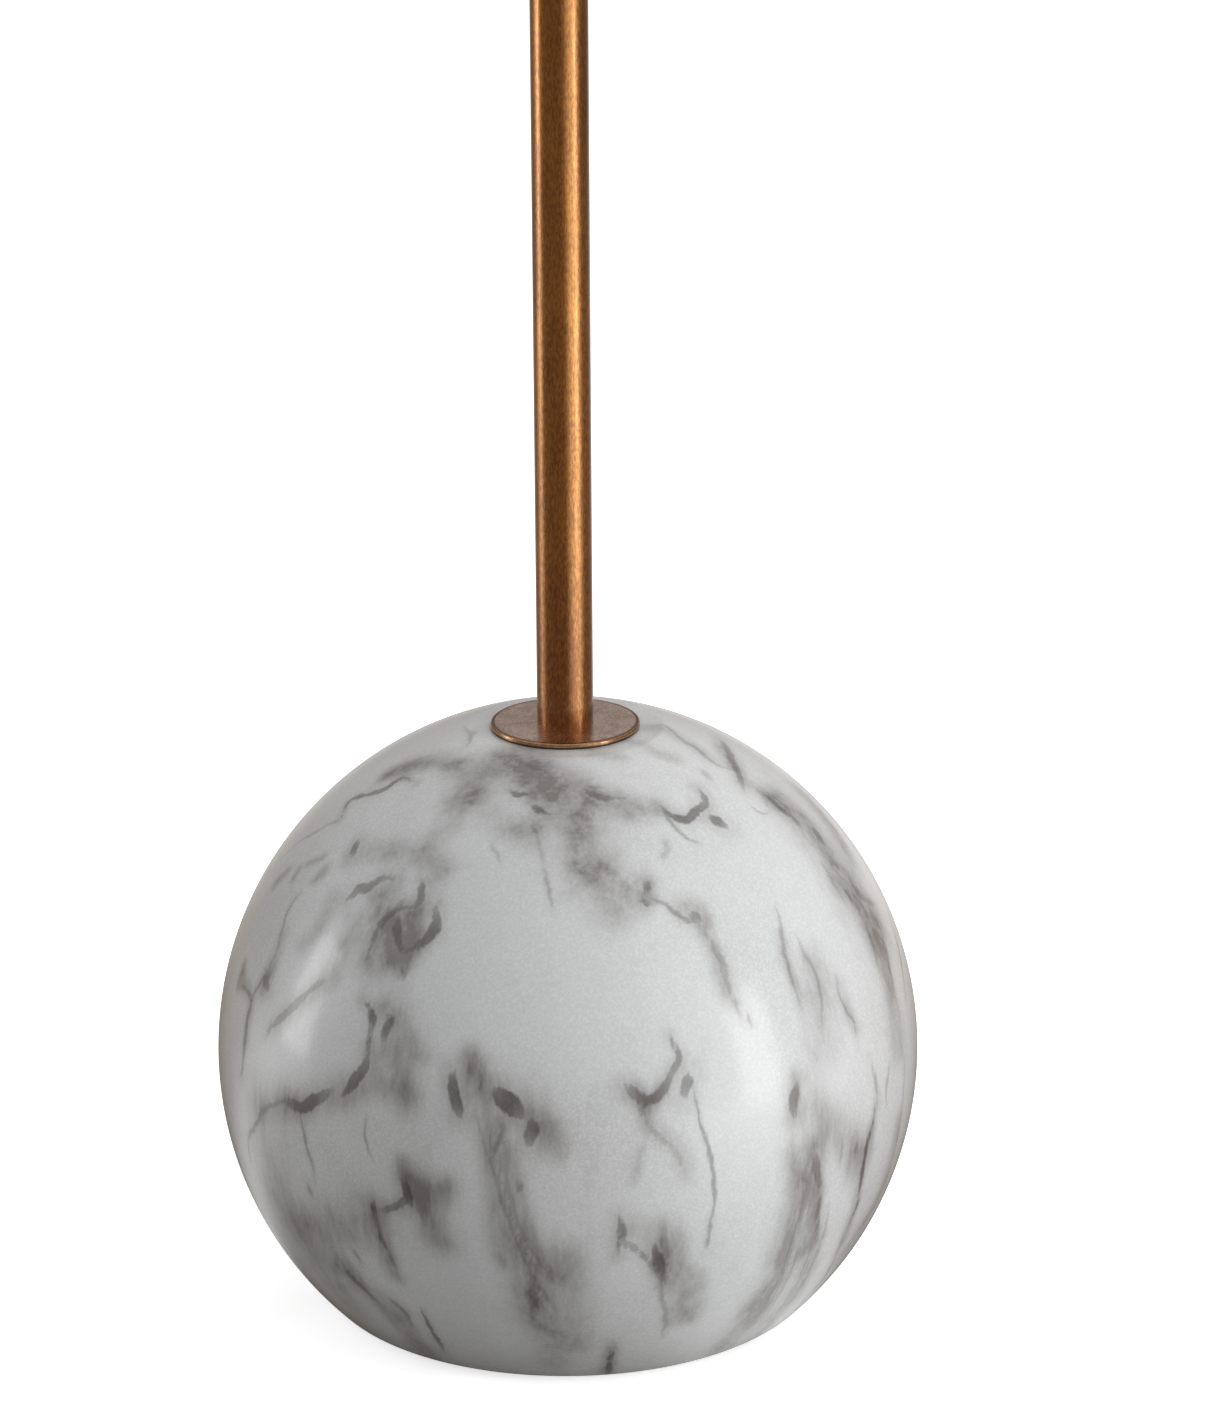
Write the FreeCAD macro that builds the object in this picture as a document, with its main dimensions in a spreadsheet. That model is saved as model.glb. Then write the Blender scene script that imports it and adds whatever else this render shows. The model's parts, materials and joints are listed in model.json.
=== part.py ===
import FreeCAD, Part
import math
import os
import re

import Sketcher

# Floor lamp: a ball foot with a marbled finish, a straight brass pole in three
# screwed sections, and an opal glass globe over a screw-in lamp.
# Millimetres, +Z up, the front faces -Y, the origin is on the floor under the pole.

os.makedirs("parts", exist_ok=True)
doc = FreeCAD.newDocument("floor_lamp")

SIZES = {
    # Clearances that several pieces share
    "slip_gap": 0.3,
    "thread_gap": 0.15,
    "running_gap": 0.06,
    "cut_overrun": 5,
    # Ball foot
    "ball_radius": 120,
    "ball_wall": 9,
    "foot_radius": 84.5,
    "foot_round": 4,
    "crown_flat_radius": 33,
    "crown_round": 5,
    "crown_boss_radius": 20,
    "crown_boss_depth": 14,
    "rim_band": 20.5,
    "rim_ledge": 6,
    "rim_thickness": 5.5,
    "felt_thickness": 1.5,
    "felt_inset": 7,
    # Base plate and its countersunk screws
    "plate_thickness": 4,
    "plate_screw_radius": 2.5,
    "plate_screw_head_radius": 4.8,
    "plate_screw_length": 16,
    "plate_screw_edge": 14,
    # Cast ballast with a pocket for the tie nut and a channel for the lead
    "ballast_gap": 2,
    "ballast_height": 62,
    "ballast_edge": 3,
    "ballast_pocket_radius": 15,
    "ballast_pocket_depth": 41,
    "channel_width": 22,
    "channel_height": 16,
    # Tie tube with its washers and nut
    "tube_radius": 5,
    "tube_bore": 3.4,
    "tie_washer_radius": 13,
    "tie_washer_thickness": 2,
    "spring_washer_radius": 9,
    "spring_washer_thickness": 2,
    "spring_washer_slot": 1.5,
    "tie_nut_flats": 17,
    "tie_nut_thickness": 8,
    # Cord gland, low on the back of the ball
    "gland_tilt": 20,
    "gland_bore": 3.9,
    "gland_barrel_radius": 6,
    "gland_barrel_length": 16,
    "gland_flange_radius": 9,
    "gland_flange_thickness": 2,
    "gland_flange_round": 0.8,
    "gland_seat_margin": 0.5,
    "gland_nut_flats": 16,
    "gland_nut_thickness": 4,
    # Terminal block and leads
    "terminal_width": 18,
    "terminal_depth": 16,
    "terminal_height": 12,
    "terminal_inset": 4,
    "lead_radius": 2.5,
    "lead_bend_radius": 20,
    "lamp_lead_radius": 2,
    # Crown flange and pole
    "flange_radius": 25.1,
    "flange_thickness": 2,
    "flange_round": 0.7,
    "pole_radius": 9.5,
    "pole_wall": 1.2,
    "pole_section_length": 360,
    "pole_end_chamfer": 0.25,
    "plug_length": 20,
    "plug_margin": 2,
    "coupler_reach": 20,
    "coupler_bore": 4,
    # Switch housing with the rotary dimmer
    "housing_radius": 16,
    "housing_wall": 1.5,
    "housing_floor": 3,
    "housing_height": 46,
    "housing_round": 2.5,
    "nipple_rise": 12,
    "nipple_nut_flats": 16,
    "nipple_nut_thickness": 4,
    "knob_rise": 26,
    "dimmer_width": 16,
    "dimmer_depth": 14.5,
    "dimmer_height": 14,
    "dimmer_bore_depth": 6,
    "bushing_radius": 3.6,
    "bushing_proud": 1,
    "dimmer_nut_flats": 10,
    "dimmer_nut_thickness": 2,
    "shaft_radius": 2.4,
    "knob_radius": 8,
    "knob_length": 13,
    "knob_round": 1,
    "knob_back_gap": 2,
    "knob_bore_depth": 8,
    "knob_flute_radius": 0.7,
    # Globe holder with its three thumb screws
    "holder_wall": 2,
    "holder_floor": 3,
    "holder_height": 19,
    "holder_round": 2,
    "holder_rim_round": 0.6,
    "spigot_length": 5,
    "spigot_wall": 2.8,
    "collar_clearance": 3,
    "screw_rise": 9,
    "screw_radius": 2,
    "screw_boss_radius": 4,
    "screw_boss_length": 2,
    "screw_head_radius": 5,
    "screw_head_length": 8,
    "screw_head_round": 0.8,
    "screw_head_gap": 1,
    "screw_groove_width": 1.2,
    "screw_groove_depth": 0.6,
    # Lamp holder
    "holder_nipple_drop": 6,
    "lamp_holder_floor": 6,
    "lamp_holder_wall": 2.7,
    "lamp_holder_lip": 2,
    "contact_base_thickness": 2,
    "contact_radius": 4,
    "contact_thickness": 1,
    "screw_shell_gap": 0.35,
    "screw_shell_wall": 0.65,
    "screw_shell_length": 22,
    # Screw-in lamp
    "lamp_cap_radius": 13,
    "lamp_cap_wall": 0.6,
    "lamp_cap_length": 20,
    "lamp_tip_radius": 4.5,
    "lamp_tip_thickness": 1,
    "lamp_insulator_height": 5,
    "lamp_collar": 0.6,
    "lamp_flare_height": 38,
    "lamp_head_radius": 28.5,
    "lamp_wall": 1.5,
    "lamp_spigot_length": 16,
    "board_thickness": 1.6,
    "driver_width": 19,
    "driver_drop": 50,
    "chip_width": 3,
    "chip_height": 0.8,
    "chip_ring_radius": 15,
    # Opal glass globe, the collar clamped in its mouth and the seal under that
    "globe_radius": 110,
    "glass_wall": 3,
    "collar_radius": 41,
    "collar_wall": 1.5,
    "collar_length": 16,
    "collar_cup_radius": 46,
    "collar_cup_drop": 1.5,
    "collar_proud": 0.5,
    "collar_nut_radius": 47,
    "collar_nut_edge": 3,
    "seal_thickness": 2,
    "seal_margin": 1.5,
}

PLATE_SCREWS = 4
THUMB_SCREWS = 3
LAMP_CHIPS = 10
KNOB_FLUTES = 18

# Sizes that follow from the driving ones
LEVELS = {
    "foot": "Sizes.felt_thickness",
    "ball_centre": "foot + sqrt(Sizes.ball_radius ^ 2 - Sizes.foot_radius ^ 2)",
    "crown": "ball_centre + sqrt(Sizes.ball_radius ^ 2 - Sizes.crown_flat_radius ^ 2)",
    "cavity_radius": "Sizes.ball_radius - Sizes.ball_wall",
    "rim_opening": "Sizes.foot_radius - Sizes.rim_band",
    "rebate_radius": "rim_opening + Sizes.rim_ledge",
    "plate_top": "foot + Sizes.plate_thickness",
    "cavity_floor": "plate_top + Sizes.rim_thickness",
    "ballast_radius": "rim_opening - Sizes.ballast_gap",
    "ballast_top": "plate_top + Sizes.ballast_height",
    "pocket_roof": "plate_top + Sizes.ballast_pocket_depth",
    "plate_screw_circle": "ballast_radius - Sizes.plate_screw_edge",
    "tube_hole": "Sizes.tube_radius + Sizes.slip_gap",
    "tube_thread": "Sizes.tube_radius + Sizes.thread_gap",
    "tie_washer_low": "pocket_roof - Sizes.tie_washer_thickness",
    "spring_washer_low": "tie_washer_low - Sizes.spring_washer_thickness",
    "tie_nut_low": "spring_washer_low - Sizes.tie_nut_thickness",
    "lead_height": "plate_top + Sizes.terminal_height / 2",
    "lead_start": "ballast_radius - Sizes.terminal_inset - Sizes.terminal_depth",
    "tube_bottom": "lead_height + Sizes.lead_bend_radius",
    "flange_top": "crown + Sizes.flange_thickness",
    "tube_top": "flange_top + Sizes.plug_length - Sizes.plug_margin",
    "pole_bore": "Sizes.pole_radius - Sizes.pole_wall",
    "plug_radius": "pole_bore - Sizes.thread_gap",
    "lower_seam": "flange_top + Sizes.pole_section_length",
    "upper_seam": "lower_seam + Sizes.pole_section_length",
    "pole_top": "upper_seam + Sizes.pole_section_length",
    "gland_seat_radius": "Sizes.gland_flange_radius + Sizes.gland_seat_margin",
    "gland_seat": "sqrt(Sizes.ball_radius ^ 2 - gland_seat_radius ^ 2)",
    "gland_nut_corner": "Sizes.gland_nut_flats / sqrt(3)",
    "gland_nut_seat": "sqrt(cavity_radius ^ 2 - gland_nut_corner ^ 2)",
    "housing_bore": "Sizes.housing_radius - Sizes.housing_wall",
    "housing_top": "pole_top + Sizes.housing_height",
    "housing_floor_top": "pole_top + Sizes.housing_floor",
    "nipple_bottom": "pole_top - Sizes.plug_length + Sizes.plug_margin",
    "nipple_top": "pole_top + Sizes.nipple_rise",
    "knob_axis": "pole_top + Sizes.knob_rise",
    "dimmer_low": "knob_axis - Sizes.dimmer_height / 2",
    "dimmer_top": "knob_axis + Sizes.dimmer_height / 2",
    "dimmer_front": (
        "sqrt((housing_bore - Sizes.slip_gap) ^ 2 - (Sizes.dimmer_width / 2) ^ 2)"
    ),
    "bushing_end": "Sizes.housing_radius + Sizes.dimmer_nut_thickness + Sizes.bushing_proud",
    "knob_back": "bushing_end + Sizes.knob_back_gap - Sizes.bushing_proud",
    "knob_bore_end": "knob_back + Sizes.knob_bore_depth",
    "holder_bore": "Sizes.collar_radius + Sizes.collar_clearance",
    "holder_radius": "holder_bore + Sizes.holder_wall",
    "holder_seat": "housing_top + Sizes.holder_floor",
    "holder_rim": "housing_top + Sizes.holder_height",
    "spigot_radius": "housing_bore - Sizes.thread_gap",
    "spigot_bore": "spigot_radius - Sizes.spigot_wall",
    "screw_height": "holder_seat + Sizes.screw_rise",
    "screw_tip": "Sizes.collar_radius + Sizes.slip_gap",
    "screw_head_start": "holder_radius + Sizes.screw_boss_length + Sizes.screw_head_gap",
    "screw_head_end": "screw_head_start + Sizes.screw_head_length",
    "lamp_floor_top": "holder_seat + Sizes.lamp_holder_floor",
    "contact_low": "lamp_floor_top + Sizes.contact_base_thickness",
    "lamp_tip": "contact_low + Sizes.contact_thickness",
    "insulator_low": "lamp_tip + Sizes.lamp_tip_thickness",
    "cap_low": "insulator_low + Sizes.lamp_insulator_height",
    "cap_top": "cap_low + Sizes.lamp_cap_length",
    "lamp_holder_top": "cap_top + Sizes.lamp_holder_lip",
    "cap_bore": "Sizes.lamp_cap_radius - Sizes.lamp_cap_wall",
    "shell_bore": "Sizes.lamp_cap_radius + Sizes.screw_shell_gap",
    "shell_radius": "shell_bore + Sizes.screw_shell_wall",
    "lamp_holder_bore": "shell_radius + Sizes.slip_gap",
    "lamp_holder_radius": "lamp_holder_bore + Sizes.lamp_holder_wall",
    "lamp_collar_radius": "Sizes.lamp_cap_radius + Sizes.lamp_collar",
    "lamp_flare_low": "lamp_holder_top + Sizes.lamp_wall",
    "lamp_rim": "lamp_flare_low + Sizes.lamp_flare_height",
    "lamp_rim_bore": "Sizes.lamp_head_radius - Sizes.lamp_wall",
    "board_low": "lamp_rim - Sizes.board_thickness",
    "lamp_spigot_radius": "cap_bore - Sizes.thread_gap",
    "lamp_spigot_bore": "lamp_spigot_radius - Sizes.lamp_wall",
    "collar_bore": "Sizes.collar_radius - Sizes.collar_wall",
    "seal_bore": "collar_bore - Sizes.seal_margin",
    "seal_radius": "Sizes.collar_radius + Sizes.seal_margin",
    "collar_low": "holder_seat + Sizes.seal_thickness",
    "mouth_radius": "Sizes.collar_radius + Sizes.slip_gap",
    "globe_bore": "Sizes.globe_radius - Sizes.glass_wall",
    "globe_mouth": "collar_low + Sizes.collar_length",
    "globe_centre": "globe_mouth + sqrt(Sizes.globe_radius ^ 2 - mouth_radius ^ 2)",
    "mouth_inside": "globe_centre - sqrt(globe_bore ^ 2 - mouth_radius ^ 2)",
    "collar_thread": "Sizes.collar_radius + Sizes.thread_gap",
    "cup_low": "globe_mouth - Sizes.collar_cup_drop",
    "cup_seat": "globe_mouth - Sizes.slip_gap",
    "cup_edge": (
        "globe_centre - sqrt(Sizes.globe_radius ^ 2 - Sizes.collar_cup_radius ^ 2)"
        " - Sizes.slip_gap"
    ),
    "collar_nut_seat": "mouth_inside + Sizes.slip_gap",
    "collar_nut_rise": (
        "globe_centre - sqrt(globe_bore ^ 2 - Sizes.collar_nut_radius ^ 2) + Sizes.slip_gap"
    ),
    "collar_nut_top": "collar_nut_rise + Sizes.collar_nut_edge",
    "collar_top": "collar_nut_top + Sizes.collar_proud",
}


def fill_sheet(name, cells):
    """A spreadsheet with one named cell for each entry."""
    sheet = doc.addObject("Spreadsheet::Sheet", name)
    for row, (alias, content) in enumerate(cells.items(), 1):
        sheet.set(f"A{row}", alias)
        sheet.set(f"B{row}", str(content))
        sheet.setAlias(f"B{row}", alias)
    return sheet


sizes = fill_sheet("Sizes", SIZES)
fill_sheet("Levels", {alias: "=" + formula for alias, formula in LEVELS.items()})
doc.recompute()

nodes = []


def bound(expression):
    """An expression in which each bare word is a cell of one of the two sheets."""

    def cell(match):
        word = match.group()
        if word in SIZES:
            return "Sizes." + word
        if word in LEVELS:
            return "Levels." + word
        return word

    return re.sub(r"[a-z][a-z0-9_]*", cell, expression)


def value(expression):
    """The number that an expression of cell names comes to now."""
    return float(sizes.evalExpression(bound(expression)))


def node(item, label):
    """Lists an object as a sub-part under its own label."""
    item.Label = label
    nodes.append(item)
    return item


def bind(item, **properties):
    """Ties properties of an object to the cells."""
    for name, expression in properties.items():
        item.setExpression(name, bound(expression))


def place(item, x="0", y="0", z="0", rotation=None):
    """Turns an object and ties its position to the cells."""
    item.Placement = FreeCAD.Placement(FreeCAD.Vector(), rotation or FreeCAD.Rotation())
    for axis, expression in zip("xyz", (x, y, z)):
        item.setExpression(".Placement.Base." + axis, bound(expression))
    return item


def primitive(kind, name, **properties):
    """A Part primitive whose sizes are tied to the cells."""
    item = doc.addObject("Part::" + kind, name)
    bind(item, **properties)
    return item


def joined(name, pieces):
    """One object fused from several."""
    item = doc.addObject("Part::MultiFuse", name)
    item.Shapes = pieces
    return item


def cut(name, base, tool):
    """The base with the tool taken out of it."""
    item = doc.addObject("Part::Cut", name)
    item.Base = base
    item.Tool = tool
    return item


def origin_plane(body, role):
    """The plane of a body's own origin that has this role."""
    return next(item for item in body.Origin.OriginFeatures if item.Role == role)


def plane_sketch(body, name, role):
    """An empty sketch on one of the body's origin planes."""
    sketch = body.newObject("Sketcher::SketchObject", name)
    sketch.AttachmentSupport = [(origin_plane(body, role), "")]
    sketch.MapMode = "FlatFace"
    return sketch


def dimension(sketch, kind, geometry, point, expression, name):
    """Ties one coordinate of a sketch point to the cells; zero puts it on the axis."""
    size = value(expression)
    if size == 0:
        axis = -2 if kind == "DistanceX" else -1
        sketch.addConstraint(Sketcher.Constraint("PointOnObject", geometry, point, axis))
        return
    index = sketch.addConstraint(Sketcher.Constraint(kind, -1, 1, geometry, point, size))
    sketch.renameConstraint(index, name)
    sketch.setExpression("Constraints." + name, bound(expression))


def outline(sketch, corners, arcs, settled):
    """Draws a closed outline of lines and arcs whose centres lie on the vertical axis.

    Each corner is a radius and a height, as expressions. arcs gives the height of the
    centre for each side that is an arc, by the number of its first corner. settled
    gives, by corner, the coordinate that an arc settles and that has no dimension.
    """
    points = [FreeCAD.Vector(value(x), value(y), 0) for x, y in corners]
    count = len(points)
    ends = []
    for index, first in enumerate(points):
        second = points[(index + 1) % count]
        if index not in arcs:
            line = sketch.addGeometry(Part.LineSegment(first, second))
            ends.append(((line, 1), (line, 2)))
            continue
        centre = FreeCAD.Vector(0, value(arcs[index]), 0)
        angles = [math.atan2(p.y - centre.y, p.x) for p in (first, second)]
        circle = Part.Circle(centre, FreeCAD.Vector(0, 0, 1), (first - centre).Length)
        arc = sketch.addGeometry(Part.ArcOfCircle(circle, min(angles), max(angles)))
        order = ((arc, 1), (arc, 2)) if angles[0] < angles[1] else ((arc, 2), (arc, 1))
        ends.append(order)
        sketch.addConstraint(Sketcher.Constraint("PointOnObject", arc, 3, -2))
        dimension(sketch, "DistanceY", arc, 3, arcs[index], f"centre_{index}")
    for index, (x, y) in enumerate(corners):
        start = ends[index][0]
        before = ends[index - 1][1]
        sketch.addConstraint(Sketcher.Constraint("Coincident", *before, *start))
        if settled.get(index) != "radius":
            dimension(sketch, "DistanceX", *start, x, f"radius_{index}")
        if settled.get(index) != "height":
            dimension(sketch, "DistanceY", *start, y, f"height_{index}")


def turned(name, corners, arcs=None, settled=None):
    """A body turned about its Z axis from a closed outline."""
    body = doc.addObject("PartDesign::Body", name)
    sketch = plane_sketch(body, name + "_outline", "XZ_Plane")
    outline(sketch, corners, arcs or {}, settled or {})
    turn = body.newObject("PartDesign::Revolution", name + "_turn")
    turn.Profile = sketch
    turn.ReferenceAxis = (sketch, ["V_Axis"])
    turn.Angle = 360
    return body


def ring(name, inner, outer, low, high):
    """A turned piece of plain rectangular section."""
    return turned(name, [(inner, low), (outer, low), (outer, high), (inner, high)])


EDGE_MATCH_SHARE = 0.001


def circle_edges(shape, places):
    """Names of the circular edges about the Z axis at each pair of radius and height."""
    found = []
    for radius, height in places:
        wanted = (value(radius), value(height))
        for index, edge in enumerate(shape.Edges, 1):
            if edge.Degenerated or edge.Curve.TypeId != "Part::GeomCircle":
                continue
            size = (edge.Curve.Radius, edge.Curve.Center.z)
            if math.dist(size, wanted) < min(wanted) * EDGE_MATCH_SHARE:
                found.append(f"Edge{index}")
    return found


def dressed(body, kind, size, places):
    """Rounds or bevels edges of a turned body, found by their radius and height."""
    doc.recompute()
    base = body.Tip
    names = circle_edges(base.Shape, places)
    if len(names) < len(places):
        raise RuntimeError(f"{body.Name}: an edge to dress is missing")
    feature = body.newObject("PartDesign::" + kind, body.Name + "_" + kind.lower())
    feature.Base = (base, names)
    bind(feature, **{"Radius" if kind == "Fillet" else "Size": size})
    return body


def hex_nut(name, flats, hole, low, thickness):
    """A plain hexagon nut on the Z axis."""
    blank = primitive("Prism", name + "_blank", Circumradius=f"{flats} / sqrt(3)", Height=thickness)
    blank.Polygon = 6
    place(blank, z=low)
    drill = primitive("Cylinder", name + "_hole", Radius=hole, Height=thickness)
    place(drill, z=low)
    return cut(name, blank, drill)


UP = FreeCAD.Vector(0, 0, 1)
TO_FRONT = FreeCAD.Rotation(FreeCAD.Vector(1, 0, 0), 90)
TO_SIDE = FreeCAD.Rotation(FreeCAD.Vector(0, 1, 0), 90)


def spoke(index, count, start):
    """The rotation that lays the Z axis along one of several even spokes."""
    return FreeCAD.Rotation(UP, start + index * 360 / count) * TO_SIDE


def around(item, index, count, radius, height, start):
    """Places an upright object at one of several even places on a circle."""
    angle = math.radians(start + index * 360 / count)
    return place(
        item,
        x=f"{radius} * {math.cos(angle):.9f}",
        y=f"{radius} * {math.sin(angle):.9f}",
        z=height,
    )


def tilted_back(item, distance):
    """Lays an object's Z axis along the gland's, at a distance from the ball's centre."""
    place(
        item,
        y=f"( {distance} ) * cos( gland_tilt )",
        z=f"ball_centre - ( {distance} ) * sin( gland_tilt )",
        rotation=FreeCAD.Rotation(FreeCAD.Vector(-1, 0, 0), 90 + SIZES["gland_tilt"]),
    )
    return item


# Ball foot


def marble_ball():
    """Hollow ball with a flat crown and foot, a boss under the crown and a rebated rim."""
    body = turned(
        "ball_shell",
        [
            ("tube_hole", "crown"),
            ("crown_flat_radius", "crown"),
            ("foot_radius", "foot"),
            ("rebate_radius", "foot"),
            ("rebate_radius", "plate_top"),
            ("rim_opening", "plate_top"),
            ("rim_opening", "cavity_floor"),
            ("sqrt(cavity_radius ^ 2 - (ball_centre - cavity_floor) ^ 2)", "cavity_floor"),
            ("crown_boss_radius", "ball_centre + sqrt(cavity_radius ^ 2 - crown_boss_radius ^ 2)"),
            ("crown_boss_radius", "crown - crown_boss_depth"),
            ("tube_hole", "crown - crown_boss_depth"),
        ],
        arcs={1: "ball_centre", 7: "ball_centre"},
        settled={2: "radius", 8: "height"},
    )
    dressed(body, "Fillet", "foot_round", [("foot_radius", "foot")])
    dressed(body, "Fillet", "crown_round", [("crown_flat_radius", "crown")])
    drill = primitive(
        "Cylinder", "gland_drill", Radius="gland_barrel_radius + slip_gap", Height="ball_wall * 2"
    )
    tilted_back(drill, "gland_seat - ball_wall * 2")
    spot_face = primitive(
        "Cylinder", "gland_spot_face", Radius="gland_seat_radius", Height="cut_overrun"
    )
    tilted_back(spot_face, "gland_seat")
    return cut("ball", body, joined("gland_cuts", [drill, spot_face]))


def plate_screw_holes(name, low, height):
    """Four upright cylinders at the places of the plate's screws."""
    holes = []
    for index in range(PLATE_SCREWS):
        hole = primitive(
            "Cylinder", f"{name}_{index}", Radius="plate_screw_radius + thread_gap", Height=height
        )
        holes.append(around(hole, index, PLATE_SCREWS, "plate_screw_circle", low, 45))
    return holes


def countersinks():
    """Cones for the heads of the plate's screws."""
    cones = []
    for index in range(PLATE_SCREWS):
        cone = primitive(
            "Cone",
            f"countersink_{index}",
            Radius1="plate_screw_head_radius + slip_gap",
            Radius2="plate_screw_radius",
            Height="plate_screw_head_radius + slip_gap - plate_screw_radius",
        )
        cones.append(around(cone, index, PLATE_SCREWS, "plate_screw_circle", "foot", 45))
    return cones


def base_plate():
    """Steel disc in the ball's rebate, bored for the nut key and its four screws."""
    body = ring(
        "plate_disc", "ballast_pocket_radius", "rebate_radius - slip_gap", "foot", "plate_top"
    )
    holes = plate_screw_holes("plate_hole", "foot", "plate_thickness")
    return cut("plate", body, joined("plate_cuts", holes + countersinks()))


def plate_screws():
    """Countersunk screws that hold the plate to the ballast."""
    screws = []
    for index in range(PLATE_SCREWS):
        head = primitive(
            "Cone",
            f"screw_head_{index}",
            Radius1="plate_screw_head_radius",
            Radius2="plate_screw_radius",
            Height="plate_screw_head_radius - plate_screw_radius",
        )
        shank = primitive(
            "Cylinder",
            f"screw_shank_{index}",
            Radius="plate_screw_radius",
            Height="plate_screw_length",
        )
        for piece in (head, shank):
            around(piece, index, PLATE_SCREWS, "plate_screw_circle", "foot", 45)
        screws.append(joined(f"plate_screw_{index}", [head, shank]))
    group = doc.addObject("Part::Compound", "plate_screw_group")
    group.Links = screws
    return group


def ballast_weight():
    """Cast cylinder with a nut pocket, a rear channel for the lead and tapped holes."""
    body = turned(
        "ballast_casting",
        [
            ("tube_hole", "ballast_top"),
            ("ballast_radius", "ballast_top"),
            ("ballast_radius", "plate_top"),
            ("ballast_pocket_radius", "plate_top"),
            ("ballast_pocket_radius", "pocket_roof"),
            ("tube_hole", "pocket_roof"),
        ],
    )
    dressed(body, "Chamfer", "ballast_edge", [("ballast_radius", "ballast_top")])
    channel = primitive(
        "Box",
        "lead_channel",
        Length="channel_width",
        Width="ballast_radius + cut_overrun",
        Height="channel_height + cut_overrun",
    )
    place(channel, x="- channel_width / 2", z="plate_top - cut_overrun")
    taps = plate_screw_holes("ballast_tap", "plate_top", "plate_screw_length")
    return cut("ballast", body, joined("ballast_cuts", [channel] + taps))


def cord_gland():
    """Flanged bush through the ball's wall, on the gland's own axis."""
    body = turned(
        "gland",
        [
            ("gland_bore", "0"),
            ("gland_barrel_radius", "0"),
            ("gland_barrel_radius", "gland_barrel_length"),
            ("gland_flange_radius", "gland_barrel_length"),
            ("gland_flange_radius", "gland_barrel_length + gland_flange_thickness"),
            ("gland_bore", "gland_barrel_length + gland_flange_thickness"),
        ],
    )
    rim = "gland_barrel_length + gland_flange_thickness"
    dressed(body, "Fillet", "gland_flange_round", [("gland_flange_radius", rim), ("gland_bore", rim)])
    return tilted_back(body, "gland_seat - gland_barrel_length")


def gland_nut():
    """Hexagon nut on the gland's thread, inside the ball."""
    nut = hex_nut("gland_nut_form", "gland_nut_flats", "gland_barrel_radius + thread_gap", "0",
                  "gland_nut_thickness")
    return tilted_back(nut, "gland_nut_seat - gland_nut_thickness")


def tie_spring_washer():
    """Split ring between the tie nut and its washer."""
    body = ring(
        "split_ring", "tube_hole", "spring_washer_radius", "spring_washer_low", "tie_washer_low"
    )
    slot = primitive(
        "Box",
        "split_ring_slot",
        Length="spring_washer_radius + cut_overrun",
        Width="spring_washer_slot",
        Height="spring_washer_thickness",
    )
    place(slot, y="- spring_washer_slot / 2", z="spring_washer_low")
    return cut("spring_washer", body, slot)


def terminal_block():
    """Insulated block on the base plate, in the ballast's channel."""
    block = primitive(
        "Box",
        "terminals",
        Length="terminal_width",
        Width="terminal_depth",
        Height="terminal_height",
    )
    return place(block, x="- terminal_width / 2", y="lead_start", z="plate_top")


def supply_lead():
    """Lead from the terminal block, bent up into the tie tube and up to the dimmer."""
    body = doc.addObject("PartDesign::Body", "lead")
    route = plane_sketch(body, "lead_route", "YZ_Plane")
    top = FreeCAD.Vector(0, value("dimmer_low"), 0)
    bend_high = FreeCAD.Vector(0, value("tube_bottom"), 0)
    bend_low = FreeCAD.Vector(value("lead_bend_radius"), value("lead_height"), 0)
    start = FreeCAD.Vector(value("lead_start"), value("lead_height"), 0)
    centre = FreeCAD.Vector(bend_low.x, bend_high.y, 0)
    rise = route.addGeometry(Part.LineSegment(top, bend_high))
    circle = Part.Circle(centre, UP, bend_low.x)
    bend = route.addGeometry(Part.ArcOfCircle(circle, math.pi, 1.5 * math.pi))
    run = route.addGeometry(Part.LineSegment(bend_low, start))
    route.addConstraint(Sketcher.Constraint("Tangent", rise, 2, bend, 1))
    route.addConstraint(Sketcher.Constraint("Tangent", bend, 2, run, 1))
    route.addConstraint(Sketcher.Constraint("Vertical", rise))
    dimension(route, "DistanceX", rise, 1, "0", "top_offset")
    dimension(route, "DistanceY", rise, 1, "dimmer_low", "top_height")
    dimension(route, "DistanceX", bend, 3, "lead_bend_radius", "bend_offset")
    dimension(route, "DistanceY", bend, 3, "tube_bottom", "bend_height")
    dimension(route, "DistanceX", run, 2, "lead_start", "start_offset")
    dimension(route, "DistanceY", run, 2, "lead_height", "start_height")
    section = plane_sketch(body, "lead_section", "XY_Plane")
    section.setExpression(".AttachmentOffset.Base.z", bound("dimmer_low"))
    circle = Part.Circle(FreeCAD.Vector(), UP, value("lead_radius"))
    disc = section.addGeometry(circle)
    section.addConstraint(Sketcher.Constraint("Coincident", disc, 3, -1, 1))
    size = section.addConstraint(Sketcher.Constraint("Radius", disc, value("lead_radius")))
    section.setExpression(f"Constraints[{size}]", bound("lead_radius"))
    doc.recompute()
    pipe = body.newObject("PartDesign::AdditivePipe", "lead_pipe")
    pipe.Profile = section
    pipe.Spine = route
    return body


# Head


def switch_housing():
    """Brass cup on the pole's top, with a hole in front for the dimmer's bushing."""
    body = turned(
        "housing_cup",
        [
            ("tube_hole", "pole_top"),
            ("housing_radius", "pole_top"),
            ("housing_radius", "housing_top"),
            ("housing_bore", "housing_top"),
            ("housing_bore", "housing_floor_top"),
            ("tube_hole", "housing_floor_top"),
        ],
    )
    dressed(body, "Fillet", "housing_round", [("housing_radius", "pole_top")])
    drill = primitive(
        "Cylinder",
        "bushing_drill",
        Radius="bushing_radius + slip_gap",
        Height="housing_radius + cut_overrun",
    )
    place(drill, z="knob_axis", rotation=TO_FRONT)
    return cut("housing", body, drill)


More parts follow.
